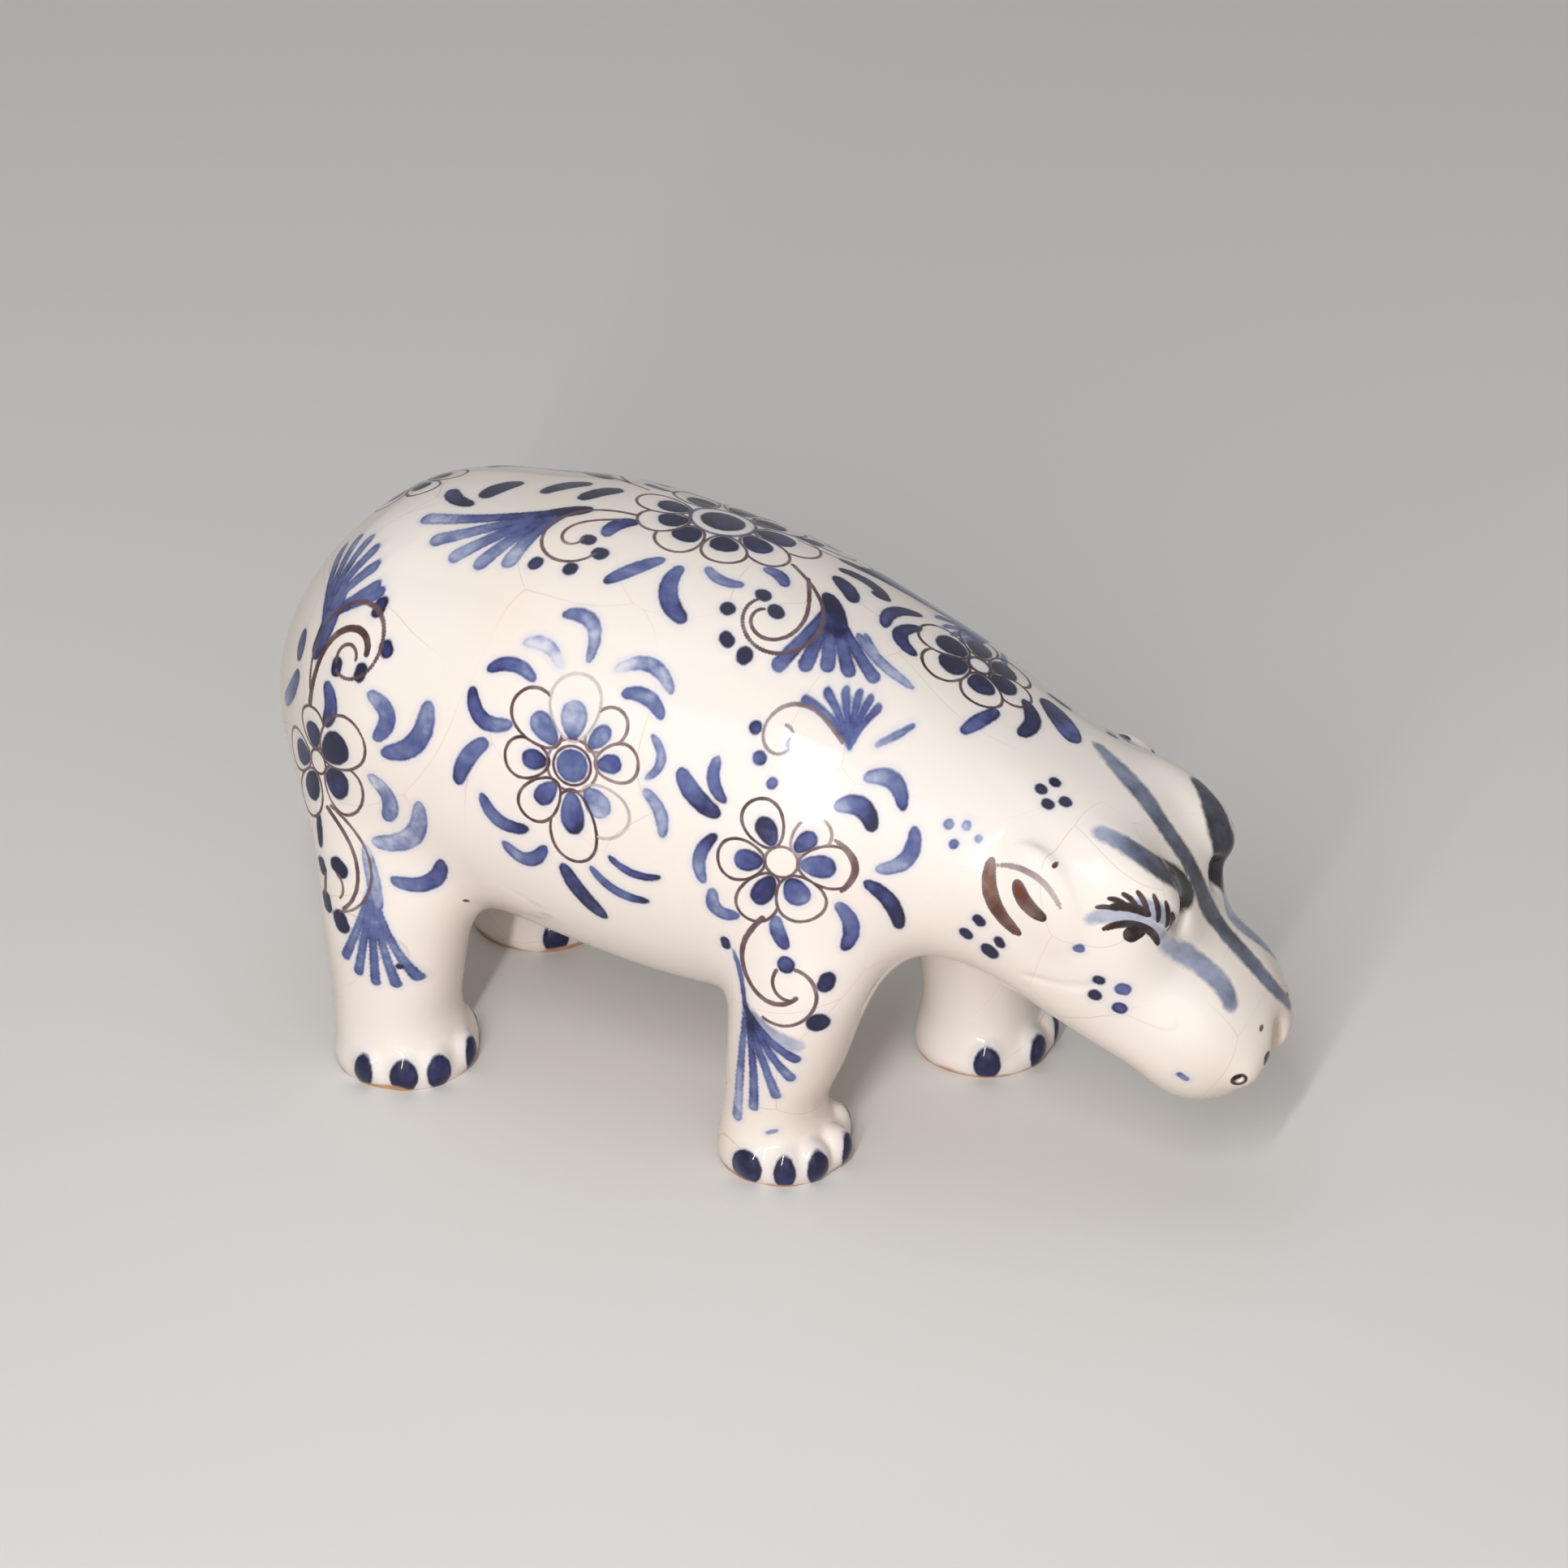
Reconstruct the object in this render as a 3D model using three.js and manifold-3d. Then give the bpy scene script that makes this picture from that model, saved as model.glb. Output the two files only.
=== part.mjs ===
// Hollow glazed earthenware hippo, walking with its head low, as the clay pieces that the potter joins.
// Millimetres, +Z up, the nose towards +X. The origin is on the floor under the middle of the figure.
import * as THREE from 'three';
import { mergeVertices } from 'three/addons/utils/BufferGeometryUtils.js';
import Module from 'manifold-3d';

const wasm = await Module();
wasm.setup();

// Spine: level along the trunk, then bent down through the neck into the head.
const spineHeight = 55;
const neckBendStart = 30;
const neckBendEnd = 62;
const headTilt = 36;
const neckSeam = 50;

// Body sections across the spine: place along it, top, bottom and side offsets, squareness of the outline.
const bodySections = [
  [-68, 21.5, -30.0, 24.5, 2.15],
  [-50, 30.8, -30.3, 31.4, 2.2],
  [-34, 31.9, -30.5, 32.7, 2.2],
  [-18, 33.2, -32.6, 33.4, 2.2],
  [-4, 32.2, -35.0, 33.3, 2.2],
  [12, 29.6, -36.0, 32.2, 2.2],
  [26, 25.0, -33.8, 30.0, 2.2],
  [37, 20.6, -29.5, 27.0, 2.2],
  [46, 16.7, -24.8, 24.0, 2.25],
  [54, 16.7, -20.0, 21.8, 2.4],
  [62, 18.6, -16.4, 20.3, 2.6],
  [68, 17.8, -14.9, 19.1, 2.65],
  [76, 14.6, -14.0, 17.2, 2.6],
  [82, 10.0, -13.2, 15.4, 2.5],
  [88, 9.7, -12.2, 14.6, 2.45],
  [96, 9.4, -12.6, 13.6, 2.4],
  [102.3, 10.3, -11.6, 13.9, 2.4],
];
const rumpRounding = 52.5;
const rumpFullness = 3.6;
const muzzleRounding = 13;
const muzzleFullness = 2.3;
const wall = 4;
const muzzleWall = 10.5;
const slipJoint = 0.3;

// Leg sections by height, as a share of the spine's height: front, back and side offsets from the middle
// of the foot, and how far the section leans in under the trunk.
const frontRightSections = [
  [0.982, 13.0, -7.0, 8.0, 7.0],
  [0.8, 14.4, -8.0, 9.6, 3.6],
  [0.6, 14.0, -7.6, 10.5, 1.0],
  [0.418, 11.0, -7.8, 9.8, 0],
  [0.273, 8.2, -8.3, 9.2, 0],
  [0.164, 6.2, -8.8, 8.8, 0],
  [0.109, 6.8, -9.2, 9.2, 0],
  [0.055, 8.8, -9.6, 9.9, 0],
  [0.022, 9.4, -9.6, 10.0, 0],
  [0, 9.0, -9.2, 9.6, 0],
];
const frontLeftSections = [
  [0.982, -3.0, -23.0, 8.0, 5.0],
  [0.8, 0.0, -21.6, 9.6, 2.0],
  [0.6, 3.0, -17.5, 10.5, 0],
  [0.418, 6.0, -13.0, 9.8, 0],
  [0.273, 7.6, -10.0, 9.4, 0],
  [0.164, 8.0, -9.4, 9.4, 0],
  [0.109, 8.6, -9.8, 9.8, 0],
  [0.055, 10.0, -10.4, 10.6, 0],
  [0.022, 10.5, -10.4, 10.7, 0],
  [0, 10.1, -10.0, 10.3, 0],
];
const rearSections = [
  [1.091, 12.0, -15.0, 8.0, 9.0],
  [0.873, 15.0, -16.2, 10.0, 4.0],
  [0.636, 13.8, -13.6, 11.2, 1.0],
  [0.436, 10.5, -12.0, 10.6, 0],
  [0.255, 8.6, -10.8, 10.0, 0],
  [0.145, 8.4, -10.6, 9.8, 0],
  [0.073, 10.0, -10.7, 10.3, 0],
  [0.027, 10.7, -10.8, 10.7, 0],
  [0, 10.3, -10.4, 10.3, 0],
];
const legSquareness = 2.15;
const legRounding = 12;
const frontRightFoot = [24, -21.5];
const frontLeftFoot = [38.5, 19];
const rearRightFoot = [-39.2, -22];
const rearLeftFoot = [-39.2, 22];

// Toes: low swellings round the front and outer rim of each foot, which may be turned in.
const toeAngles = [103, 68, 35, -3, -50];
const frontLeftTurnIn = 14;
const toeSize = [2.9, 2.9, 3.3];
const toeHeight = 2.9;
const toeInset = 2.1;

// Details on the body, each placed along the spine, to the side of it and up from it, with its slope against
// the spine's own: brow ridges, low-relief ears, nose lobes with the cleft between them, and the nostrils
// that vent the hollow figure.
const browPlace = [67.5, 10.4, 13.4];
const browSize = [10.5, 5.8, 4.8];
const browSlope = 0;
const earPlace = [60.3, 18.4, 7.7];
const earSize = [7.6, 2.2, 5];
const earSlope = 27;
const noseLobePlace = [98, 6.1, 0.5];
const noseLobeSize = 3.7;
const cleftPlace = [101.7, 0, 1];
const cleftSize = [5.2, 3.8, 8];
const nostrilPlace = [99.8, 9.5, 0.8];
const nostrilDiameter = 1.8;
const nostrilDepth = 12;
const nostrilTurn = 35;

// Tail: a short flat tail lying on the rump.
const tailPlace = [-66.9, 0, -8];
const tailSize = [9, 3, 2.2];
const tailSlope = 86;

// Facets.
const bodyRings = 36;
const bodyFacets = 40;
const hollowRings = 20;
const hollowFacets = 24;
const legRings = 14;
const legFacets = 28;

// Natural cubic spline: second slopes from the usual three-term equations, no bend at either end.
function spline(places, values) {
  const last = places.length - 1;
  const bend = new Array(last + 1).fill(0);
  const carry = new Array(last + 1).fill(0);
  for (let i = 1; i < last; i += 1) {
    const before = places[i] - places[i - 1];
    const after = places[i + 1] - places[i];
    const turn = (values[i + 1] - values[i]) / after - (values[i] - values[i - 1]) / before;
    const pivot = 2 * (before + after) - before * carry[i - 1];
    carry[i] = after / pivot;
    bend[i] = (6 * turn - before * bend[i - 1]) / pivot;
  }
  for (let i = last - 1; i > 0; i -= 1) {
    bend[i] -= carry[i] * bend[i + 1];
  }
  return (place) => {
    const at = THREE.MathUtils.clamp(place, places[0], places[last]);
    let i = 0;
    while (i < last - 1 && at > places[i + 1]) {
      i += 1;
    }
    const span = places[i + 1] - places[i];
    const left = (places[i + 1] - at) / span;
    const right = 1 - left;
    const sag = (left ** 3 - left) * bend[i] + (right ** 3 - right) * bend[i + 1];
    return left * values[i] + right * values[i + 1] + sag * span * span / 6;
  };
}

// One spline for each column of a table of sections, over its first column.
function columns(table) {
  const rows = [...table].sort((one, other) => one[0] - other[0]);
  const places = rows.map((row) => row[0]);
  return rows[0].slice(1).map((_, column) => spline(places, rows.map((row) => row[column + 1])));
}

// Angle of the spine below the level: a smooth step through the neck.
function spineAngle(along) {
  const share = THREE.MathUtils.smoothstep(along, neckBendStart, neckBendEnd);
  return THREE.MathUtils.degToRad(headTilt) * share;
}

// Point of the spine: level up to the bend, then the summed steps of the turning direction.
function spinePoint(along) {
  const point = new THREE.Vector3(Math.min(along, neckBendStart), 0, spineHeight);
  const steps = 60;
  const step = Math.max(along - neckBendStart, 0) / steps;
  for (let i = 0; i < steps; i += 1) {
    const angle = spineAngle(neckBendStart + (i + 0.5) * step);
    point.x += step * Math.cos(angle);
    point.z -= step * Math.sin(angle);
  }
  return point;
}

// Superellipse outline about a middle point, in the plane of two directions.
function outline(middle, across, upward, halfAcross, halfUp, squareness, facets) {
  const points = [];
  for (let i = 0; i < facets; i += 1) {
    const turn = (2 * Math.PI * (i + 0.5)) / facets;
    const a = Math.sign(Math.cos(turn)) * Math.abs(Math.cos(turn)) ** (2 / squareness);
    const b = Math.sign(Math.sin(turn)) * Math.abs(Math.sin(turn)) ** (2 / squareness);
    const point = middle.clone().addScaledVector(across, a * halfAcross);
    points.push(point.addScaledVector(upward, b * halfUp));
  }
  return points;
}

// Skin over a row of outlines, closed at both ends by a fan to the middle of the end outline.
function skin(outlines) {
  const count = outlines[0].length;
  const positions = [];
  const faces = [];
  for (const ring of outlines) {
    ring.forEach((point) => positions.push(point.x, point.y, point.z));
  }
  for (let ring = 0; ring < outlines.length - 1; ring += 1) {
    for (let i = 0; i < count; i += 1) {
      const next = (i + 1) % count;
      const a = ring * count + i;
      const b = ring * count + next;
      faces.push(a, b, b + count, a, b + count, a + count);
    }
  }
  for (const end of [0, outlines.length - 1]) {
    const middle = new THREE.Vector3();
    outlines[end].forEach((point) => middle.addScaledVector(point, 1 / count));
    const centre = positions.length / 3;
    positions.push(middle.x, middle.y, middle.z);
    for (let i = 0; i < count; i += 1) {
      const a = end * count + i;
      const b = end * count + ((i + 1) % count);
      faces.push(...(end === 0 ? [centre, b, a] : [centre, a, b]));
    }
  }
  const geometry = new THREE.BufferGeometry();
  geometry.setAttribute('position', new THREE.Float32BufferAttribute(positions, 3));
  geometry.setIndex(faces);
  return geometry;
}

// Closed three.js geometry to a solid that can be joined and cut.
function solid(geometry) {
  const bare = geometry.clone();
  bare.deleteAttribute('normal');
  bare.deleteAttribute('uv');
  const merged = mergeVertices(bare, 1e-4);
  const mesh = new wasm.Mesh({
    numProp: 3,
    vertProperties: new Float32Array(merged.attributes.position.array),
    triVerts: new Uint32Array(merged.index.array),
  });
  return new wasm.Manifold(mesh);
}

// Roundness of a loft's end: one along its length, falling to nothing at the end as a superellipse does.
function roundness(distance, length, fullness) {
  const share = THREE.MathUtils.clamp(1 - distance / length, 0, 1);
  return Math.sqrt(Math.max(1 - share ** fullness, 0));
}

// Body loft along the spine, grown outwards by an offset or shrunk inwards by a negative one.
function bodyLoft(offset, rings, facets) {
  const [topAt, bottomAt, sideAt, squarenessAt] = columns(bodySections);
  const tailEnd = bodySections[0][0];
  const noseEnd = bodySections[bodySections.length - 1][0];
  const across = new THREE.Vector3(0, 1, 0);
  const outlines = [];
  for (let ring = 0; ring <= rings; ring += 1) {
    const share = 0.5 - 0.5 * Math.cos(Math.PI * (0.012 + (0.976 * ring) / rings));
    const along = THREE.MathUtils.lerp(tailEnd, noseEnd, share);
    const placed = THREE.MathUtils.lerp(tailEnd - offset, noseEnd + offset, share);
    const round = roundness(along - tailEnd, rumpRounding, rumpFullness)
      * roundness(noseEnd - along, muzzleRounding, muzzleFullness);
    const angle = spineAngle(placed);
    const upward = new THREE.Vector3(Math.sin(angle), 0, Math.cos(angle));
    const middle = spinePoint(placed).addScaledVector(upward, (topAt(along) + bottomAt(along)) / 2);
    const halfUp = Math.max(((topAt(along) - bottomAt(along)) / 2) * round + offset, 0.5);
    const halfAcross = Math.max(sideAt(along) * round + offset, 0.5);
    outlines.push(outline(middle, across, upward, halfAcross, halfUp, squarenessAt(along), facets));
  }
  return solid(skin(outlines));
}

// Puts a geometry on the spine, on the right (-1) or the left (1) side, sloped against the spine there.
function onSpine(geometry, slope, place, side) {
  const [along, aside, lift] = place;
  const angle = spineAngle(along);
  const upward = new THREE.Vector3(Math.sin(angle), 0, Math.cos(angle));
  const point = spinePoint(along).addScaledVector(upward, lift);
  geometry.rotateY(angle + THREE.MathUtils.degToRad(slope));
  geometry.translate(point.x, side * aside, point.z);
  return solid(geometry);
}

function ellipsoid(size, facets) {
  return new THREE.SphereGeometry(1, facets, Math.round(facets * 0.6)).scale(...size);
}

// Leg loft in level sections from the rounded top down to the flat sole, with its toes.
function legLoft(sections, foot, turnIn) {
  const [frontAt, backAt, sideAt, leanAt] = columns(sections);
  const [x, y] = foot;
  const top = sections[0][0] * spineHeight;
  const outlines = [];
  for (let ring = 0; ring <= legRings; ring += 1) {
    const share = 1 - Math.cos((0.5 * Math.PI * (legRings - ring + 0.12)) / (legRings + 0.12));
    const height = ring === legRings ? 0 : top * share;
    const level = height / spineHeight;
    const round = roundness(top - height, legRounding, 2);
    const inward = -Math.sign(y) * leanAt(level);
    const middle = new THREE.Vector3(x + (frontAt(level) + backAt(level)) / 2, y + inward, height);
    const halfLong = Math.max(((frontAt(level) - backAt(level)) / 2) * round, 0.5);
    const halfWide = Math.max(sideAt(level) * round, 0.5);
    const forward = new THREE.Vector3(1, 0, 0);
    const sideways = new THREE.Vector3(0, -1, 0);
    outlines.push(outline(middle, forward, sideways, halfLong, halfWide, legSquareness, legFacets));
  }
  let leg = solid(skin(outlines));
  const underFloor = block(new THREE.Vector3(x, y, 0), new THREE.Vector3(0, 0, -1));
  for (const angle of toeAngles) {
    const turn = THREE.MathUtils.degToRad(angle - turnIn);
    const reach = sideAt(toeHeight / spineHeight) - toeInset;
    const toe = ellipsoid(toeSize, 10);
    toe.translate(x + reach * Math.cos(turn), y + Math.sign(y) * reach * Math.sin(turn), toeHeight);
    leg = leg.add(solid(toe));
  }
  return leg.subtract(underFloor);
}

// The biggest body of a cut solid.
function biggest(cut) {
  return cut.decompose().reduce((kept, body) => (body.volume() > kept.volume() ? body : kept));
}

// A big block on one side of a plane through a point.
function block(point, normal) {
  const size = 2 * (bodySections[bodySections.length - 1][0] - bodySections[0][0]);
  const geometry = new THREE.BoxGeometry(size, size, size);
  geometry.translate(0, 0, size / 2);
  const turn = new THREE.Quaternion().setFromUnitVectors(new THREE.Vector3(0, 0, 1), normal);
  geometry.applyQuaternion(turn);
  geometry.translate(point.x, point.y, point.z);
  return solid(geometry);
}

function clayMesh(name, shape, colour, roughness) {
  const cut = biggest(shape).getMesh();
  const geometry = new THREE.BufferGeometry();
  geometry.setAttribute('position', new THREE.Float32BufferAttribute(cut.vertProperties, 3));
  geometry.setIndex(new THREE.Uint32BufferAttribute(cut.triVerts, 1));
  geometry.computeVertexNormals();
  const material = new THREE.MeshStandardMaterial({ color: colour, roughness, metalness: 0 });
  const mesh = new THREE.Mesh(geometry, material);
  mesh.name = name;
  return mesh;
}

// Body: the outer loft with brows and nose lobes, cleft between them, hollowed by the inner loft up to the
// thick muzzle and vented by the nostrils.
let shell = bodyLoft(0, bodyRings, bodyFacets);
for (const side of [-1, 1]) {
  shell = shell.add(onSpine(ellipsoid(browSize, 20), browSlope, browPlace, side));
  const lobe = new THREE.SphereGeometry(noseLobeSize, 18, 11);
  shell = shell.add(onSpine(lobe, 0, noseLobePlace, side));
}
shell = shell.subtract(onSpine(ellipsoid(cleftSize, 24), 0, cleftPlace, 1));
const noseEnd = bodySections[bodySections.length - 1][0];
const noseBack = new THREE.Vector3(-Math.cos(spineAngle(noseEnd)), 0, Math.sin(spineAngle(noseEnd)));
const hollowSide = block(spinePoint(noseEnd - muzzleWall), noseBack);
shell = shell.subtract(bodyLoft(-wall, hollowRings, hollowFacets).intersect(hollowSide));
for (const side of [-1, 1]) {
  const bore = new THREE.CylinderGeometry(nostrilDiameter / 2, nostrilDiameter / 2, 2 * nostrilDepth, 12);
  bore.rotateZ(Math.PI / 2 + side * THREE.MathUtils.degToRad(nostrilTurn));
  shell = shell.subtract(onSpine(bore, 0, nostrilPlace, side));
}

// Seams: the two trunk halves meet on the middle plane, and the head on a plane across the neck.
const halfJoint = slipJoint / 2;
const neckNormal = new THREE.Vector3(Math.cos(spineAngle(neckSeam)), 0, -Math.sin(spineAngle(neckSeam)));
const neckFront = block(spinePoint(neckSeam + halfJoint), neckNormal);
const neckBack = block(spinePoint(neckSeam - halfJoint), neckNormal.clone().negate());
const rightHalf = block(new THREE.Vector3(0, -halfJoint, 0), new THREE.Vector3(0, -1, 0));
const leftHalf = block(new THREE.Vector3(0, halfJoint, 0), new THREE.Vector3(0, 1, 0));
const trunk = shell.intersect(neckBack);

// Room that the shell takes up, with the slip joint round it: what is luted on is cut to fit against it.
const seat = bodyLoft(slipJoint, bodyRings, bodyFacets);
const glaze = 0xf3e8dc;
const figure = new THREE.Group();
figure.add(clayMesh('body_shell_right', trunk.intersect(rightHalf), glaze, 0.18));
figure.add(clayMesh('body_shell_left', trunk.intersect(leftHalf), glaze, 0.18));
figure.add(clayMesh('head', shell.intersect(neckFront), glaze, 0.18));
const legs = [
  ['front_right_leg', frontRightSections, frontRightFoot, 0],
  ['front_left_leg', frontLeftSections, frontLeftFoot, frontLeftTurnIn],
  ['rear_right_leg', rearSections, rearRightFoot, 0],
  ['rear_left_leg', rearSections, rearLeftFoot, 0],
];
for (const [name, sections, foot, turnIn] of legs) {
  figure.add(clayMesh(name, legLoft(sections, foot, turnIn).subtract(seat), glaze, 0.2));
}
for (const [name, side] of [['right_ear', -1], ['left_ear', 1]]) {
  const ear = onSpine(ellipsoid(earSize, 18), earSlope, earPlace, side);
  figure.add(clayMesh(name, ear.subtract(seat), 0xe9dccf, 0.2));
}
const tail = onSpine(ellipsoid(tailSize, 20), tailSlope, tailPlace, 1);
figure.add(clayMesh('tail', tail.subtract(seat), 0xe9dccf, 0.2));

// The origin goes to the floor under the middle of the figure's box.
const box = new THREE.Box3().setFromObject(figure);
const centre = box.getCenter(new THREE.Vector3());
figure.position.set(-centre.x, -centre.y, -box.min.z);
figure.updateMatrixWorld(true);

export default figure;
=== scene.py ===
# Blue and white glazed hippo: the fired clay skin, its brushwork and a plain stage.
import bpy
import mathutils
import numpy as np
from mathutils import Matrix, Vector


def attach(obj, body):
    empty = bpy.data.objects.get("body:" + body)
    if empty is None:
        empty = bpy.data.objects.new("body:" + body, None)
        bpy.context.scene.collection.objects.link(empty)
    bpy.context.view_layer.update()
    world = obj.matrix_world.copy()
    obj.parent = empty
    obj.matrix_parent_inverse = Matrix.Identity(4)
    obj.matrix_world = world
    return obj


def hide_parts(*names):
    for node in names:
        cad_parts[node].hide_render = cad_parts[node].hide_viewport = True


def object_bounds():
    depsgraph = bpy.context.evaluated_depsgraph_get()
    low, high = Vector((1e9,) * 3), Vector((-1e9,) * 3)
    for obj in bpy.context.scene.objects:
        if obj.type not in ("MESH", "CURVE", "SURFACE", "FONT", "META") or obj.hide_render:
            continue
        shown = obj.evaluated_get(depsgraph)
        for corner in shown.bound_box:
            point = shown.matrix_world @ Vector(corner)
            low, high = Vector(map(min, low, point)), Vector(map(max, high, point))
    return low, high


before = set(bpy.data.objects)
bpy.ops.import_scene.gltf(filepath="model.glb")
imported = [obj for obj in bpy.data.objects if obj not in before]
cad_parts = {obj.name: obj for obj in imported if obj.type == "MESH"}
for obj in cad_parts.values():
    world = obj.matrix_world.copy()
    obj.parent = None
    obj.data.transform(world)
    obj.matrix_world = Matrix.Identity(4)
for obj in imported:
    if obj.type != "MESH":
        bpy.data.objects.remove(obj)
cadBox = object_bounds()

# All clay and brush sizes below are millimetres in the potter's own frame, nose towards +X;
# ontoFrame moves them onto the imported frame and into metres.
figure = {
    "netLow": (-76, -42, -6), "netHigh": (102, 42, 96),     # corners of the net's grid
    "netCell": 1.46,       # first net over the clay, halved once afterwards
    "netRounds": 3,        # times the net is evened out
    "paintStep": 0.43,     # longest triangle side left beside a brush edge
    "lineStep": 0.24,      # and beside a drawn line
    "paintRounds": 3,      # times that sides are halved for it
    "edgeReach": 0.6,      # share of a side within which an edge counts as near
}


def naturalSpline(places, values):
    # natural cubic through the rows: second slopes from the three-term equations, none at the ends
    x, y = np.array(places, float), np.array(values, float)
    h, rise = np.diff(x), np.diff(y)
    i = np.arange(1, len(x) - 1)
    system, right = np.eye(len(x)), np.zeros(len(x))
    system[i, i - 1], system[i, i], system[i, i + 1] = h[:-1], 2 * (h[:-1] + h[1:]), h[1:]
    right[1:-1] = 6 * np.diff(rise / h)
    bend = np.linalg.solve(system, right)

    def valueAt(q):
        q = np.clip(q, x[0], x[-1])
        k = np.clip(np.searchsorted(x, q, side="right") - 1, 0, len(x) - 2)
        b = (q - x[k]) / h[k]
        a = 1 - b
        return a * y[k] + b * y[k + 1] + ((a**3 - a) * bend[k] + (b**3 - b) * bend[k + 1]) * h[k] ** 2 / 6

    return valueAt


def splinesOf(table):
    # one spline for each column after the first, by the first
    return [naturalSpline(table[:, 0], column) for column in table[:, 1:].T]


def between(start, end, share):
    # value at a share of the way from start to end
    return start + (end - start) * share


def unit(v):
    # rows of length one
    return v / np.linalg.norm(v, axis=-1, keepdims=True)


def smoothMin(a, b, soft):
    # the smaller of two distances, with a rounded valley as wide as soft where they meet
    h = np.clip(soft - np.abs(a - b), 0, None) / soft
    return np.minimum(a, b) - h**3 * soft / 6


def ovalDistance(u, v, halfU, halfV, square, over):
    # way out from the middle beyond a superellipse's rim, joined square with the way past the loft's end
    ratio = (np.abs(u / halfU) ** square + np.abs(v / halfV) ** square) ** (1 / square) + 1e-9
    off = np.maximum(np.hypot(u, v) * (1 - 1 / ratio), -np.minimum(halfU, halfV))
    return np.where(over > 0, np.hypot(np.maximum(off, 0), over), off)


body = {
    "spineHeight": 55, "neckBendStart": 30, "neckBendEnd": 62, "headTilt": 36, "neckSeam": 50,
    # along the spine, top, bottom and side offsets, squareness of the outline
    "sections": [
        [-68, 21.5, -30.0, 24.5, 2.15], [-50, 30.8, -30.3, 31.4, 2.2], [-34, 31.9, -30.5, 32.7, 2.2],
        [-18, 33.2, -32.6, 33.4, 2.2], [-4, 32.2, -35.0, 33.3, 2.2], [12, 29.6, -36.0, 32.2, 2.2],
        [26, 25.0, -33.8, 30.0, 2.2], [37, 20.6, -29.5, 27.0, 2.2], [46, 16.7, -24.8, 24.0, 2.25],
        [54, 16.7, -20.0, 21.8, 2.4], [62, 18.6, -16.4, 20.3, 2.6], [68, 17.8, -14.9, 19.1, 2.65],
        [76, 14.6, -14.0, 17.2, 2.6], [82, 10.0, -13.2, 15.4, 2.5], [88, 9.7, -12.2, 14.6, 2.45],
        [96, 9.4, -12.6, 13.6, 2.4], [102.3, 10.3, -11.6, 13.9, 2.4],
    ],
    "rumpRounding": 52.5, "rumpFullness": 3.6, "muzzleRounding": 13, "muzzleFullness": 2.3,
    "endInset": 0.002,     # share of the length left off at each end, where the loft comes to a point
    "spineSamples": 1600, "spineOverrun": 6, "searchOverrun": 4, "searchRounds": 9, "searchBefore": 35,
}
bodyRows = np.array(body["sections"], float)
bodyTop, bodyBottom, bodySide, bodySquare = splinesOf(bodyRows)
tailEnd, noseEnd = bodyRows[0, 0], bodyRows[-1, 0]

# spine: level, then turned down through the neck by a smooth step; the path is the summed direction
spineAlong = np.linspace(tailEnd - body["spineOverrun"], noseEnd + body["spineOverrun"], body["spineSamples"])
neckLength = body["neckBendEnd"] - body["neckBendStart"]
neckShare = np.clip((spineAlong - body["neckBendStart"]) / neckLength, 0, 1)
spineTurn = np.radians(body["headTilt"]) * neckShare**2 * (3 - 2 * neckShare)
spineStep = spineAlong[1] - spineAlong[0]
meanTurn = (spineTurn[1:] + spineTurn[:-1]) / 2
spineX = spineAlong[0] + np.append(0, np.cumsum(np.cos(meanTurn))) * spineStep
spineZ = body["spineHeight"] - np.append(0, np.cumsum(np.sin(meanTurn))) * spineStep


def spineAt(along):
    # turn, x and z of the spine at a station, straight between its samples
    return tuple(np.interp(along, spineAlong, values) for values in (spineTurn, spineX, spineZ))


def spinePlace(along, aside, lift):
    # point at a station of the spine, aside from it and lifted square to it
    turn, x, z = spineAt(along)
    return np.array([x + lift * np.sin(turn), aside, z + lift * np.cos(turn)])


def alongSpine(p):
    # nearest station of the spine, found by stepping along it, and the lift square to it
    low, high = tailEnd - body["searchOverrun"], noseEnd + body["searchOverrun"]
    along = np.clip(p[:, 0], low, high)
    lift = p[:, 2] - body["spineHeight"]
    fore = np.flatnonzero(p[:, 0] > body["neckBendStart"] - body["searchBefore"])
    x, z, s = p[fore, 0], p[fore, 2], along[fore]
    for _ in range(body["searchRounds"]):
        turn, px, pz = spineAt(s)
        s = np.clip(s + (x - px) * np.cos(turn) - (z - pz) * np.sin(turn), low, high)
    turn, px, pz = spineAt(s)
    along[fore] = s
    lift[fore] = (x - px) * np.sin(turn) + (z - pz) * np.cos(turn)
    return along, lift


def bodyDistance(p):
    # distance to the body loft: to the superellipse at the nearest station, smaller towards rump and muzzle
    along, lift = alongSpine(p)
    inset = body["endInset"] * (noseEnd - tailEnd)
    at = np.clip(along, tailEnd + inset, noseEnd - inset)
    rump = np.clip(1 - (at - tailEnd) / body["rumpRounding"], 0, 1) ** body["rumpFullness"]
    muzzle = np.clip(1 - (noseEnd - at) / body["muzzleRounding"], 0, 1) ** body["muzzleFullness"]
    rounding = np.sqrt(np.clip(1 - rump, 1e-6, None) * np.clip(1 - muzzle, 1e-6, None))
    top, bottom = bodyTop(at), bodyBottom(at)
    tall, wide, square = (top - bottom) / 2 * rounding, bodySide(at) * rounding, bodySquare(at)
    return ovalDistance(p[:, 1], lift - (top + bottom) / 2, wide, tall, square, np.abs(along - at))


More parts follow.
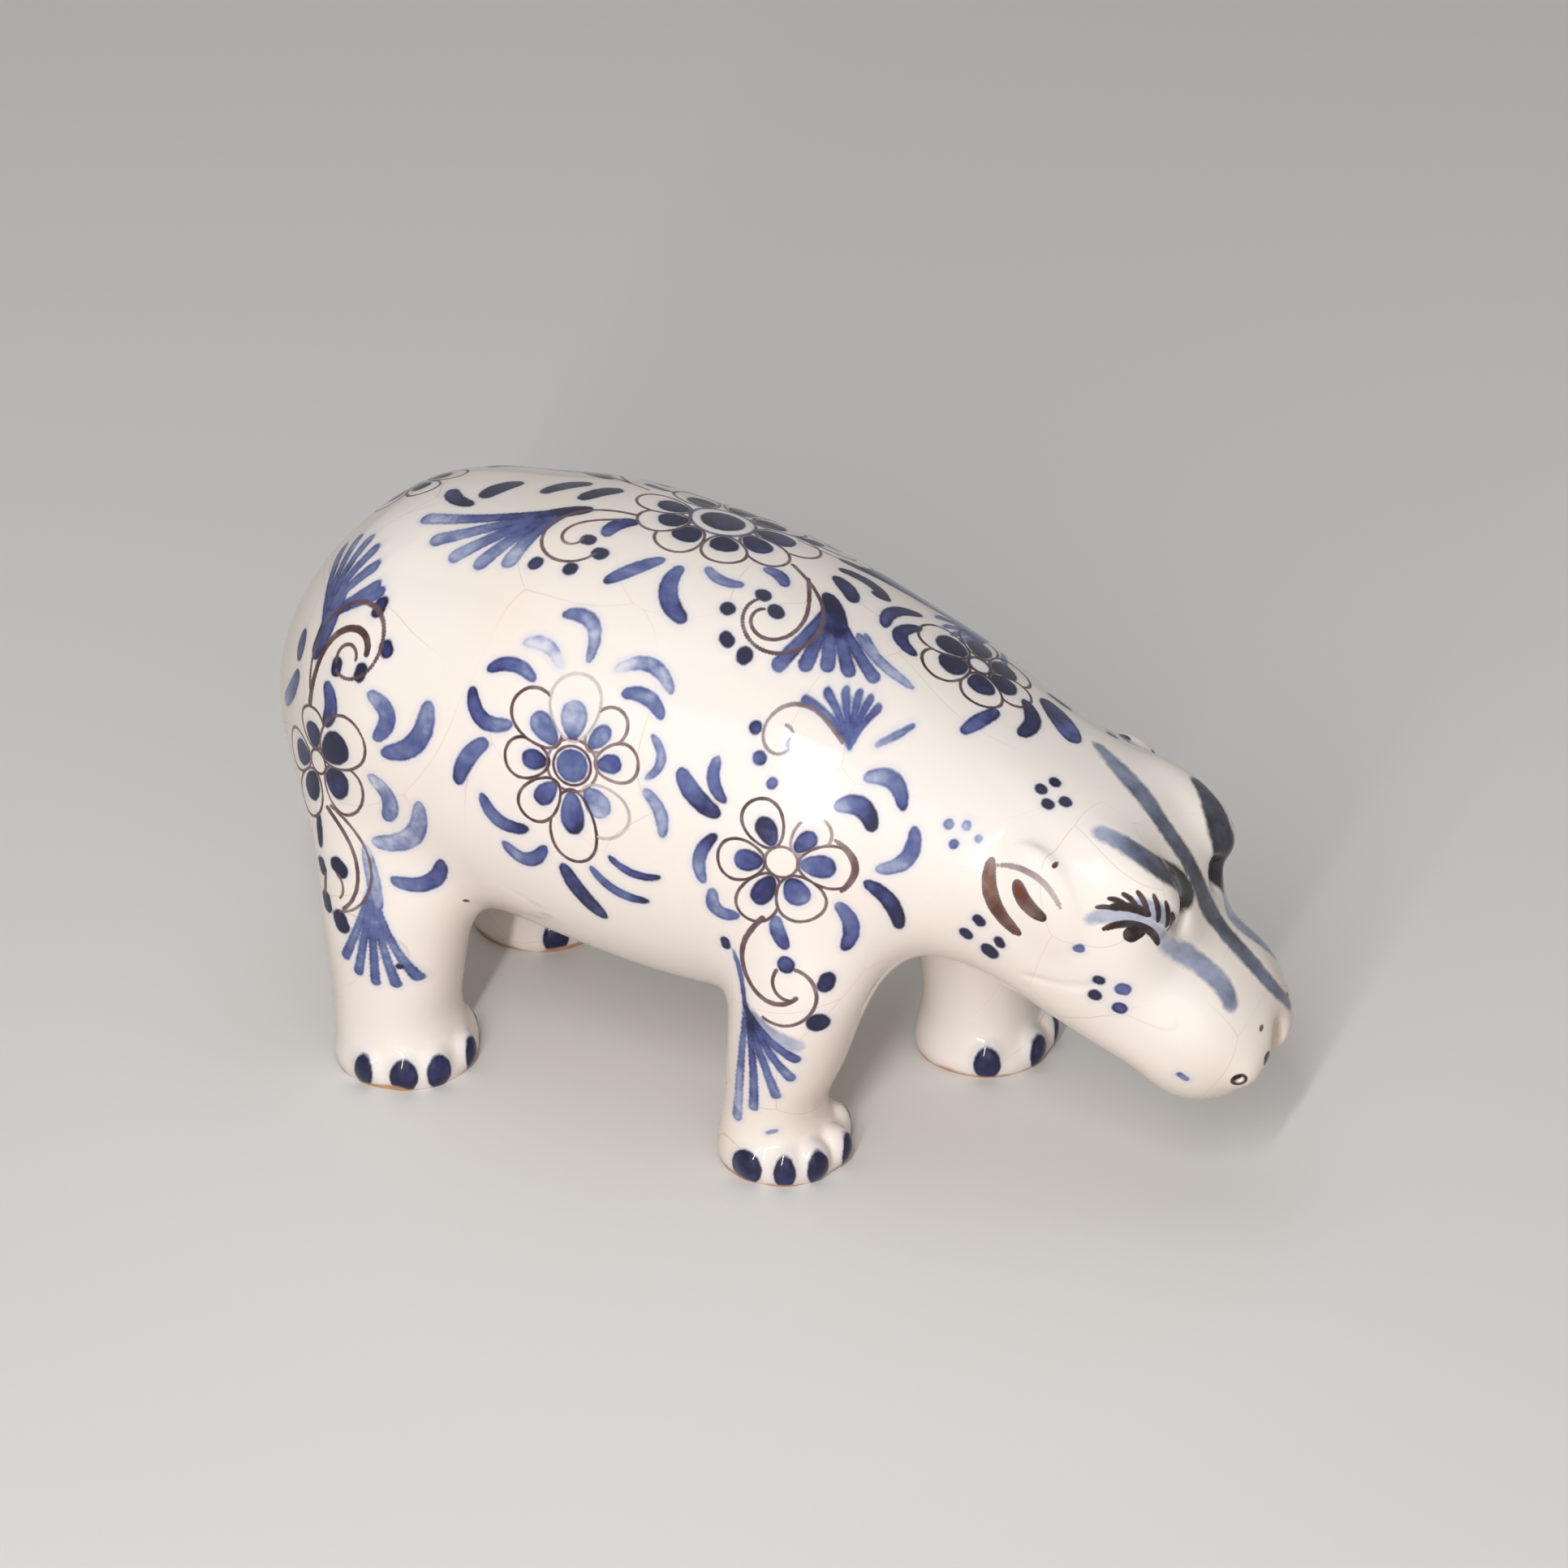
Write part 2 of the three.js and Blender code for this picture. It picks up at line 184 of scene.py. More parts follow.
# height as a share of the spine's, front, back and side offsets from the foot's middle, lean inwards
frontRightRows = [
    [0.982, 13.0, -7.0, 8.0, 7.0], [0.8, 14.4, -8.0, 9.6, 3.6], [0.6, 14.0, -7.6, 10.5, 1.0],
    [0.418, 11.0, -7.8, 9.8, 0], [0.273, 8.2, -8.3, 9.2, 0], [0.164, 6.2, -8.8, 8.8, 0],
    [0.109, 6.8, -9.2, 9.2, 0], [0.055, 8.8, -9.6, 9.9, 0], [0.022, 9.4, -9.6, 10.0, 0],
    [0, 9.0, -9.2, 9.6, 0],
]
frontLeftRows = [
    [0.982, -3.0, -23.0, 8.0, 5.0], [0.8, 0.0, -21.6, 9.6, 2.0], [0.6, 3.0, -17.5, 10.5, 0],
    [0.418, 6.0, -13.0, 9.8, 0], [0.273, 7.6, -10.0, 9.4, 0], [0.164, 8.0, -9.4, 9.4, 0],
    [0.109, 8.6, -9.8, 9.8, 0], [0.055, 10.0, -10.4, 10.6, 0], [0.022, 10.5, -10.4, 10.7, 0],
    [0, 10.1, -10.0, 10.3, 0],
]
rearRows = [
    [1.091, 12.0, -15.0, 8.0, 9.0], [0.873, 15.0, -16.2, 10.0, 4.0], [0.636, 13.8, -13.6, 11.2, 1.0],
    [0.436, 10.5, -12.0, 10.6, 0], [0.255, 8.6, -10.8, 10.0, 0], [0.145, 8.4, -10.6, 9.8, 0],
    [0.073, 10.0, -10.7, 10.3, 0], [0.027, 10.7, -10.8, 10.7, 0], [0, 10.3, -10.4, 10.3, 0],
]
legs = {
    "squareness": 2.15, "rounding": 12, "blend": 8, "reach": 40,
    "underSole": [-3, -1.4, 1.4, -1.4, 0],     # change from the sole's row to one under the floor
    "endInset": (0.05, 0.03),                  # left off below and above, where the loft ends
    "toeAngles": [98, 64, 35, -3, -50], "toeSize": [2.9, 2.9, 3.3], "toeHeight": 2.9, "toeInset": 2.1,
    "toeBlend": 1.6, "turnIn": {"front_left_leg": 14},
    "feet": {
        "front_right_leg": ((24, -21.5), frontRightRows), "front_left_leg": ((38.5, 19), frontLeftRows),
        "rear_right_leg": ((-39.2, -22), rearRows), "rear_left_leg": ((-39.2, 22), rearRows),
    },
}


def eggDistance(middle, radii, slope=0.0):
    # near distance to an ellipsoid turned nose-down about Y
    a = np.radians(slope)
    axes = np.array([[np.cos(a), 0, -np.sin(a)], [0, 1, 0], [np.sin(a), 0, np.cos(a)]])
    middle, radii = np.array(middle, float), np.array(radii, float)

    def distance(p):
        q = (p - middle) @ axes.T
        near = np.linalg.norm(q / radii, axis=1) + 1e-9
        return near * (near - 1) / (np.linalg.norm(q / radii**2, axis=1) + 1e-9)

    return distance, middle, float(radii.max())


def legDistance(foot, rows):
    # level superellipses at each height, run a little under the floor, where the sole is cut flat
    table = np.array(rows[::-1], float)
    table[:, 0] *= body["spineHeight"]
    table = np.vstack([table[0] + legs["underSole"], table])
    front, back, side, lean = splinesOf(table)
    top, inward = table[-1, 0], -np.sign(foot[1])
    low, high = table[0, 0] + legs["endInset"][0], top - legs["endInset"][1]

    def distance(p):
        at = np.clip(p[:, 2], low, high)
        share = np.clip(1 - (top - at) / legs["rounding"], 0, 1)
        rounding = np.sqrt(1 - share**2)
        f, b = front(at), back(at)
        long, wide = (f - b) / 2 * rounding, side(at) * rounding
        u = p[:, 0] - foot[0] - (f + b) / 2
        v = p[:, 1] - foot[1] - inward * lean(at)
        return ovalDistance(u, v, long, wide, legs["squareness"], np.abs(p[:, 2] - at))

    return distance, np.array([foot[0], foot[1], top / 2]), legs["reach"]


# head details by station along the spine, aside and lift, and slope against the spine
details = {
    "brow": {"place": (68, 10.7, 14.2), "size": (8.7, 5.1, 4.7), "slope": -3, "blend": 6},
    "ear": {"place": (60.3, 17.8, 7.6), "size": (7.6, 2.2, 4.6), "slope": 27, "blend": 3.5},
    "noseLobe": {"place": (98, 6.1, 0.5), "size": (3.7, 3.7, 3.7), "slope": 0, "blend": 2.5},
}
tail = {"place": (-66.9, 0, -8), "size": (9, 3, 2.2), "slope": 86, "blend": 2}


def onSide(place, side):
    # a place by station, aside and lift, on the right or the left of the spine
    return spinePlace(place[0], side * place[1], place[2])


clayForms = []     # added to the body or taken from it: ((distance, middle, reach), blend, 1 or -1)
for foot, rows in legs["feet"].values():
    clayForms.append((legDistance(foot, rows), legs["blend"], 1))
for spec in details.values():
    for side in (-1, 1):
        egg = eggDistance(onSide(spec["place"], side), spec["size"], body["headTilt"] + spec["slope"])
        clayForms.append((egg, spec["blend"], 1))
clayForms.append((eggDistance(spinePlace(*tail["place"]), tail["size"], tail["slope"]), tail["blend"], 1))
for name, (foot, rows) in legs["feet"].items():
    sideAt = naturalSpline([r[0] for r in rows[::-1]], [r[3] for r in rows[::-1]])
    reach = sideAt(np.array([legs["toeHeight"] / body["spineHeight"]]))[0] - legs["toeInset"]
    for angle in np.radians(np.array(legs["toeAngles"]) - legs["turnIn"].get(name, 0)):
        forward, outward = reach * np.cos(angle), np.sign(foot[1]) * reach * np.sin(angle)
        toe = [foot[0] + forward, foot[1] + outward, legs["toeHeight"]]
        clayForms.append((eggDistance(toe, legs["toeSize"]), legs["toeBlend"], 1))


def rodDistance(path, radius):
    # distance to a bent rod: to the nearest of its straight lengths, less its radius
    path = np.array(path, float)
    middle = (path.min(0) + path.max(0)) / 2

    def distance(p):
        near = np.full(len(p), np.inf)
        for start, end in zip(path[:-1], path[1:]):
            share = np.clip((p - start) @ (end - start) / ((end - start) @ (end - start)), 0, 1)
            near = np.minimum(near, np.linalg.norm(p - start - share[:, None] * (end - start), axis=1))
        return near - radius

    return distance, middle, float(np.abs(path - middle).max()) + radius


# pressed into the wet clay: the cleft of the nose, pits before the brows, nostrils and the mouth's creases
pressed = {
    "cleft": {"place": (101.9, 0, 1), "size": (4.6, 3.2, 8), "blend": 4},
    "browPit": {"place": (78.3, 6.8, 13.4), "size": (3.2, 2.4, 2.4), "blend": 2.6},
    "nostril": {"place": (99.8, 9.5, 0.8), "turn": 35, "radius": 0.6, "depth": 4.5, "standOff": 4,
                "blend": 0.8},
    "mouth": {"path": [(67.5, 19.3, -4.4), (70.7, 19.1, -2.4), (73.4, 18.5, -0.4), (75.2, 18.0, 1.6)],
              "radius": 0.55, "blend": 1.3},
}
cleft, browPit, nostril, mouth = pressed.values()
egg = eggDistance(spinePlace(*cleft["place"]), cleft["size"], body["headTilt"])
clayForms.append((egg, cleft["blend"], -1))
nostrilPlaces = [onSide(nostril["place"], side) for side in (-1, 1)]
for side, opening in zip((-1, 1), nostrilPlaces):
    pit = eggDistance(onSide(browPit["place"], side), browPit["size"], body["headTilt"])
    tilt, turn = np.radians(body["headTilt"]), np.radians(side * nostril["turn"])
    outward = np.array([np.cos(tilt) * np.cos(turn), np.cos(tilt) * np.sin(turn), -np.sin(tilt)])
    ends = [opening + nostril["standOff"] * outward, opening - nostril["depth"] * outward]
    bore = rodDistance(ends, nostril["radius"])
    crease = rodDistance([onSide(place, side) for place in mouth["path"]], mouth["radius"])
    clayForms += [(pit, browPit["blend"], -1), (bore, nostril["blend"], -1), (crease, mouth["blend"], -1)]


def clayDistance(p, margin=3):
    # body loft with each luted-on form blended in where it is near, and the pressed forms taken out
    d = bodyDistance(p)
    for (distance, middle, reach), blend, sign in clayForms:
        near = np.flatnonzero((np.abs(p - middle) < reach + blend + margin).all(1))
        if len(near):
            d[near] = sign * smoothMin(sign * d[near], distance(p[near]), blend)
    return d


def clayNormal(p, reach=0.03):
    # slope of the distance from four corners of a small tetrahedron
    corners = np.array([[1, -1, -1], [-1, -1, 1], [-1, 1, -1], [1, 1, 1]], float)
    return sum(corner * clayDistance(p + reach * corner)[:, None] for corner in corners) / (4 * reach)


def ontoClay(p, rounds):
    # steps along the slope, none longer than a millimetre, until the distance is nothing
    for _ in range(rounds):
        slope = clayNormal(p)
        step = slope * (clayDistance(p) / ((slope**2).sum(1) + 1e-9))[:, None]
        length = np.linalg.norm(step, axis=1, keepdims=True)
        p = p - step * np.minimum(1, 1.0 / np.maximum(length, 1e-9))
    return p


def netOver(field, low, high, cell):
    # one point in each grid cell that the surface crosses, at the mean of its crossings, and one quad,
    # halved along its shorter diagonal, round each grid edge that it crosses
    low = np.array(low, float)
    count = np.ceil((np.array(high) - low) / cell).astype(int) + 1
    axes = [low[i] + cell * np.arange(count[i]) for i in range(3)]
    grid = np.stack(np.meshgrid(*axes, indexing="ij"), -1).reshape(-1, 3)
    values = np.concatenate([field(part) for part in np.array_split(grid, 6)]).reshape(count)
    inside = values < 0
    corners = np.array([[i, j, k] for i in (0, 1) for j in (0, 1) for k in (0, 1)])
    last = count - 1
    filled = sum(inside[i:last[0] + i, j:last[1] + j, k:last[2] + k].astype(int) for i, j, k in corners)
    active = (filled > 0) & (filled < 8)
    index = np.full(active.shape, -1)
    index[active] = np.arange(active.sum())
    cells = np.argwhere(active)
    held = np.stack([values[tuple((cells + c).T)] for c in corners], 1)
    total, crossings = np.zeros((len(cells), 3)), np.zeros(len(cells))
    for a in range(8):
        for b in range(a + 1, 8):
            if np.abs(corners[a] - corners[b]).sum() == 1:
                cut = (held[:, a] < 0) != (held[:, b] < 0)
                share = held[cut, a] / (held[cut, a] - held[cut, b])
                total[cut] += between(corners[a], corners[b], share[:, None])
                crossings[cut] += 1
    points = low + cell * (cells + total / crossings[:, None])
    quads = []
    for axis, (first, second) in enumerate(((1, 2), (2, 0), (0, 1))):
        crossed = np.diff(inside.astype(int), axis=axis) != 0
        edge = np.argwhere(crossed)
        flip = inside[tuple(edge.T)]
        one, two = np.eye(3, dtype=int)[first], np.eye(3, dtype=int)[second]
        quad = np.stack([index[tuple((edge - o).T)] for o in (one + two, two, 0 * one, one)], 1)
        quad[~flip] = quad[~flip][:, ::-1]
        quads.append(quad)
    quads = np.concatenate(quads)
    across = np.linalg.norm(points[quads[:, 0]] - points[quads[:, 2]], axis=1)
    along = np.linalg.norm(points[quads[:, 1]] - points[quads[:, 3]], axis=1)
    short = (across <= along)[:, None]
    one = np.where(short, quads[:, [0, 1, 2]], quads[:, [1, 2, 3]])
    two = np.where(short, quads[:, [0, 2, 3]], quads[:, [1, 3, 0]])
    return points, np.concatenate([one, two])


def sidesOf(tris):
    # every side of the triangles once, and which one each corner starts
    pairs = np.sort(np.stack([tris, np.roll(tris, -1, axis=1)], -1).reshape(-1, 2), axis=1)
    key, which = np.unique(pairs[:, 0] * (tris.max() + 1) + pairs[:, 1], return_inverse=True)
    return np.stack([key // (tris.max() + 1), key % (tris.max() + 1)], 1), which.reshape(-1, 3)


def numbersFor(chosen, start):
    # numbers from start on for the chosen ones in turn, -1 for the others
    return np.where(chosen, start + np.cumsum(chosen) - 1, -1)


def loneFirst(flags, *tables):
    # columns of tables with three, turned so that the one whose flag differs from the other two comes first
    lone = np.where(flags.sum(1) == 1, flags.argmax(1), flags.argmin(1))
    order = (lone[:, None] + np.arange(3)) % 3
    return np.hstack([np.take_along_axis(table, order, 1) for table in tables]).T


def pickTris(amount, divided):
    # for each amount the triangles, by their corners, that a triangle with so many flags is divided into
    return np.concatenate([np.stack(corners, 1)[amount == count]
                           for count, triangles in divided.items() for corners in triangles])


def splitSides(points, tris, chosen, sides, which):
    # a new point in the middle of each chosen side; triangles with one, two or three are divided to suit
    mid = numbersFor(chosen, len(points))[which]
    points = np.concatenate([points, points[sides[chosen]].mean(1)])
    a, b, c, ab, bc, ca = loneFirst(mid >= 0, tris, mid)
    return points, pickTris((mid >= 0).sum(1), {
        0: [(a, b, c)], 1: [(a, ab, c), (ab, b, c)],
        2: [(a, b, bc), (a, bc, ca), (ca, bc, c)],      # the whole side is a-b
        3: [(a, ab, ca), (ab, b, bc), (ca, bc, c), (ab, bc, ca)],
    })


def meansOf(which, points, count):
    # mean of the points that bear each number
    sums = [np.bincount(which, points[:, i], count) for i in range(3)]
    return np.stack(sums, 1) / np.bincount(which, minlength=count)[:, None]


def evenOut(points, tris, rounds):
    # each point moves half way to the mean of its neighbours, then back onto the clay
    sides, _ = sidesOf(tris)
    here, there = np.concatenate([sides, sides[:, ::-1]]).T
    for _ in range(rounds):
        mean = meansOf(here, points[there], len(points))
        points = ontoClay(between(points, mean, 0.5), 1)
    return points


def makeSkin():
    # net over the clay, evened out, every side halved once, all points set back onto the clay
    points, tris = netOver(clayDistance, figure["netLow"], figure["netHigh"], figure["netCell"])
    points = evenOut(ontoClay(points, 3), tris, figure["netRounds"])
    sides, which = sidesOf(tris)
    points, tris = splitSides(points, tris, np.ones(len(sides), bool), sides, which)
    return ontoClay(points, 2), tris


skinPoints, skinTris = makeSkin()
skinMiddleX = (skinPoints[:, 0].min() + skinPoints[:, 0].max()) / 2
print("skin:", len(skinPoints), "points,", len(skinTris), "triangles")


def ontoFrame(p):
    # the skin's middle goes over the middle of the solids' box
    return (np.array(p, float) - [skinMiddleX, 0, 0]) / 1000 + [(cadBox[0][0] + cadBox[1][0]) / 2, 0, 0]


def cutSkin(points, rows, tris, side):
    # parts the triangles along the line where side is nothing; returns the parts below and above it
    side = np.where(np.abs(side) < 1e-7, 1e-7, side)
    sides, which = sidesOf(tris)
    a, b = sides.T
    crossed = (side[a] > 0) != (side[b] > 0)
    cut = numbersFor(crossed, len(points))[which]
    a, b = a[crossed], b[crossed]
    share = (side[a] / (side[a] - side[b]))[:, None]
    points, rows = (np.concatenate([table, between(table[a], table[b], share)]) for table in (points, rows))
    above = side[tris] > 0
    a, b, c, ab, _, ca = loneFirst(above, tris, cut)
    whole, tip, rest = [(a, b, c)], [(a, ab, ca)], [(ab, b, c), (ab, c, ca)]
    below = pickTris(above.sum(1), {0: whole, 1: rest, 2: tip})
    return points, rows, below, pickTris(above.sum(1), {3: whole, 1: tip, 2: rest})


def usedOnly(points, rows, tris):
    # the points and rows that the triangles use, numbered anew
    used, number = np.unique(tris, return_inverse=True)
    return points[used], rows[used], number.reshape(-1, 3)


def closeSkin(points, rows, tris):
    # every open rim is closed by a fan from the mean of its points
    count = len(points)
    start, end = tris.ravel(), np.roll(tris, -1, axis=1).ravel()
    atRim = ~np.isin(start * count + end, end * count + start)
    start, end = start[atRim], end[atRim]
    follow, label = np.arange(count), np.arange(count)
    follow[start] = end
    for _ in range(16):     # doubling steps carry the lowest number round each rim
        label = np.minimum(label, label[follow])
        follow = follow[follow]
    rims, which = np.unique(label[start], return_inverse=True)
    middle = meansOf(which, points[start], len(rims))
    fan = np.stack([end, start, count + which], 1)
    return np.concatenate([points, middle]), np.concatenate([rows, rows[:len(rims)] * 0]), tris, fan


# Brushwork. Each motif is drawn flat on a sheet laid against the clay at its place, u towards the nose and
# turned down by its heading, v up, in millimetres and degrees; tones run from 0, thin colour, to 1, full.
# petals: angle, reach, half width, tone of the blue inside at the heart and at its tip, tone of the outline
# commas, lines and washes (blue, brown and soft blue): start u, v, end u, v, bow to the left of the way,
#     half width, tone at the start and at the end
# fans: base u, v, first and last angle, strokes, first and last length, half width, tone at base and tips,
#     and how much longer the middle strokes are
# scrolls: start u, v, heading, length, whole turn, how late it turns, half width, tone
# dots and specks (blue and brown): u, v, half length, half width, angle, tone
flankFlower = {
    "at": (-4.6, -32.1, 64.1), "petalStart": 3.6, "blob": (0.62, 0.52),
    "rings": [(3.9, 0.24, 0.5), (2.9, 0.24, 0.65)], "spot": (2.5, 0.52),
    "petals": [
        # the top petal, at 96 degrees, is painted almost white: a painted highlight of the glare on the upper
        # flank
        (96, 13, 3.8, 0.45, 0.12, 0.12), (137, 13, 3.4, 0.7, 0.35, 0.6), (-177, 10.6, 3, 0.95, 0.6, 0.75),
        (-127, 11.6, 2.9, 0.45, 0.85, 0.75), (-86, 15, 3.6, 0.4, 0.88, 0.75), (-49, 12, 3.8, 0.42, 0.22, 0.2),
        (14, 10.2, 2.8, 0.75, 0.5, 0.5), (54, 11, 2.6, 0.62, 0.4, 0.45),
    ],
    # the top comma is painted pale, and those from u -10.5, v 15.5 and from u 4, v 14.5 nearly white: painted
    # highlight of the same glare
    "commas": [
        (-6, 20, -0.5, 15, 2.5, 1.0, 0.5, 0.3), (-10.5, 15.5, -4.5, 13.5, 1.2, 0.95, 0.05, -0.05),
        (-15, 11, -8, 11, 1.3, 1.05, 0.6, 0.5), (-17, 7.5, -10.5, 4, -2.2, 1.3, 0.75, 0.45),
        (-14, 0.5, -18, -6.5, -0.8, 1.4, 0.5, 0.75), (-14, -8, -7, -11.5, -1.7, 1.2, 0.5, 0.75),
        (-10.5, -15, -4, -14, -2.2, 1.2, 0.45, 0.7), (-1, -16.5, 4.5, -23.5, -0.5, 1.45, 0.75, 0.85),
        (3.5, -15.5, 12, -19, -1.3, 0.85, 0.5, 0.75), (6.5, -13, 14, -14.5, -1.1, 0.72, 0.6, 0.85),
        (4, 14.5, 12.5, 13, 2.0, 1.0, -0.05, 0.28), (6, 11.5, 12, 9.5, 1.1, 1.1, 0.35, 0.58),
        (11.5, 6.5, 11.5, 0.5, 1.7, 0.75, 0.35, 0.25), (11.5, -1.5, 14.5, -7.5, 1.0, 1.05, 0.3, 0.45),
    ],
}
shoulderFlower = {
    "at": (27.4, -29.5, 54.8), "petalStart": 2.4, "blob": (0.66, 0.55),
    "rings": [(2.4, 0.24, 0.55)],
    "petals": [
        (0, 10.8, 3.3, 0.5, 0.65, 0.6), (-63, 9.9, 3.6, 0.82, 0.4, 0.65), (-116, 11.2, 3, 0.9, 0.75, 0.65),
        (-175, 9.4, 3.2, 0.85, 0.68, 0.7), (118, 9.8, 2.9, 0.8, 0.95, 0.7), (47, 9, 2.5, 0.75, 0.55, 0.4),
    ],
    "commas": [
        (-15.5, 11, -10, 6, -0.7, 1.5, 0.55, 0.85), (-10.5, 13.5, -9, 8, -1.0, 1.0, 0.5, 0.8),
        (-10, 2.5, -11.5, -5, -1.3, 1.05, 0.88, 0.42), (-10, -6.5, -6.5, -10, -1.7, 1.15, 0.3, 0.45),
        (-0.5, -9.5, 1, -13.5, -0.4, 1.2, 0.38, 0.7), (8.5, -6, 9.5, -13, 1.3, 1.25, 0.4, 0.85),
        (12.5, -2, 17, -9, 1.2, 1.3, 0.78, 0.97), (18.5, 6.5, 14, 0.5, 1.9, 1.25, 0.55, 0.28),
        (11, 13, 16.5, 9.5, 1.7, 1.15, 0.22, 0.8), (7.5, 9, 12.5, 6.5, 1.6, 1.4, 0.3, 0.98),
        (16, 18.7, 11.5, 16.8, 0, 0.5, 0.5, 0.2),
    ],
    "fans": [(7.9, 16.4, 146, 56, 6, 9, 5, 0.6, 0.45, 0.5, -0.16)],
    "lines": [(7.6, 4.2, 8.8, -3.6, 2.4, 0.6, 0.5, 0.6)],
    "scrolls": [(7, 16.8, 138, 23.5, 385, 2.2, 0.32, 0.42)],
    "dots": [
        (-5.7, 18, 0.95, 0.9, 0, 0.72), (-4.5, 14.3, 1.05, 1.0, 0, 0.65), (-2.3, 11.2, 0.9, 0.8, 60, 0.5),
        (-0.5, 16.6, 0.75, 0.55, 70, 0.5), (-8.2, -15.4, 1.2, 0.75, 100, 0.85),
    ],
}
forelegScroll = {
    "at": (28.6, -31.2, 28.4),
    "scrolls": [(-3.5, 17, 230, 20.8, 175, 1.6, 0.48, 0.6), (1.2, 9.3, -4, 16.5, -203, 0.82, 0.34, 0.55),
                (-1.4, 8.8, 240, 6.6, 140, 1.2, 0.32, 0.65)],
    "commas": [(-8.4, 10, -6.4, 0.5, 0.3, 0.5, 0.3, 0.8), (-3.2, -20, -1.7, -19.6, 0, 0.35, 0.25, 0.3)],
    "washes": [(-6, 0.6, 2.2, -3.2, -0.8, 1.6, 0.6, 0.15)],
    "fans": [
        (-6.2, 1.6, 265, 265, 1, 20, 20, 0.9, 0.6, 0.25), (-6.3, 1.4, 274, 318, 4, 17, 10.5, 0.85, 0.8, 0.45),
    ],
    "dots": [(0, 9.9, 1.4, 1.35, 0, 0.85), (5.9, 7.6, 1.7, 1.2, 75, 0.95), (4.8, 0.9, 1.65, 1.6, 0, 0.95)],
}
rumpFlower = {
    "at": (-49.6, -26.9, 51.5), "heart": (1.3, 0.4), "petalStart": 2, "blob": (0.66, 0.64),
    "rings": [(1.9, 0.24, 0.7)],
    "petals": [
        (43, 12.6, 4, 0.99, 0.97, 0.6), (-23, 9.6, 4.2, 0.85, 0.92, 0.6), (103, 8.6, 3.2, 0.99, 0.9, 0.65),
        (-110, 10.4, 3.1, 0.99, 0.95, 0.65), (-173, 9.4, 3.2, 0.9, 0.82, 0.6),
    ],
    "commas": [
        (3, 13.5, 3.6, 8, 1.2, 1.5, 0.62, 0.85), (11.5, 15, 13.5, 9, 2.4, 1.4, 0.35, 0.5),
        (20.5, 16, 15, 7, 2.4, 1.6, 0.5, 0.68), (12.5, 2, 14.2, -4.3, 1.8, 1.4, 0.2, 0.3),
        (-7.5, 16.6, -7.3, 13.8, 0, 1.5, 0.75, 0.75), (-6.2, 11.3, -11.5, 4.5, 0.6, 1.5, 0.75, 0.5),
        (-2, 16.5, -2.4, 25.5, -0.8, 1.9, 0.88, 0.58),
    ],
    "fans": [
        (-2.7, 20.6, 146, 70, 5, 10.5, 9, 0.95, 0.78, 0.45),
        (-2.6, 21.4, 46, 38, 2, 8.6, 9.4, 0.9, 0.65, 0.6),
    ],
    "scrolls": [(-0.9, 9, 87, 20.5, -165, 2.8, 0.62, 0.72), (-1.2, 11, 108, 36, -310, 1.6, 0.4, 0.62),
                (3.7, 17.4, 115, 6.6, -195, 1.1, 0.34, 0.6)],
    "dots": [
        (6.5, 25.9, 1.4, 1.05, 110, 0.9), (11.2, 21.6, 1.4, 1, -40, 0.9), (8.7, 17.5, 1.5, 1.05, 90, 0.95),
        (4, 16.8, 1.5, 1.1, 95, 0.95),
    ],
}
hindlegScroll = {
    "at": (-39.9, -32.3, 34),
    "scrolls": [(-7.4, 11.5, -36, 18.3, -105, 1.6, 0.42, 0.6), (-6.7, 12, -20, 22.8, -148, 1.35, 0.32, 0.5),
                (-4.8, 1.4, -30, 4.2, -100, 1, 0.3, 0.5)],
    "lines": [(-7.4, 0.7, -7.6, -3.1, 0, 0.38, 0.6, 0.6)],
    "commas": [
        (10.3, 17.3, 2, 8.6, 2.7, 1.6, 0.38, 0.15), (12.5, 7.5, 5, 3, 2.3, 1.35, 0.8, 0.42),
        (-9.2, 9.4, -8.7, 4.5, 0, 0.75, 0.97, 0.97), (0.2, 7, 2.6, -2, 0.2, 1.2, 0.15, 0.4),
    ],
    "fans": [(1.6, 2.2, 250, 289, 5, 15, 17, 0.85, 0.4, 0.6, 0.08)],
    "dots": [
        (-8.3, 1.3, 1.5, 0.95, -62, 0.97), (-4.5, 2.6, 1.9, 1.35, -32, 0.97),
        (-7.2, -4.2, 1.8, 1.1, -75, 0.97), (-4.1, -6.3, 2.0, 1.5, -65, 0.97),
        (5.2, -11.9, 0.6, 0.55, 0, 0.9),
    ],
    "specks": [(14, -0.3, 0.4, 0.4, 0, 0.8)],
}
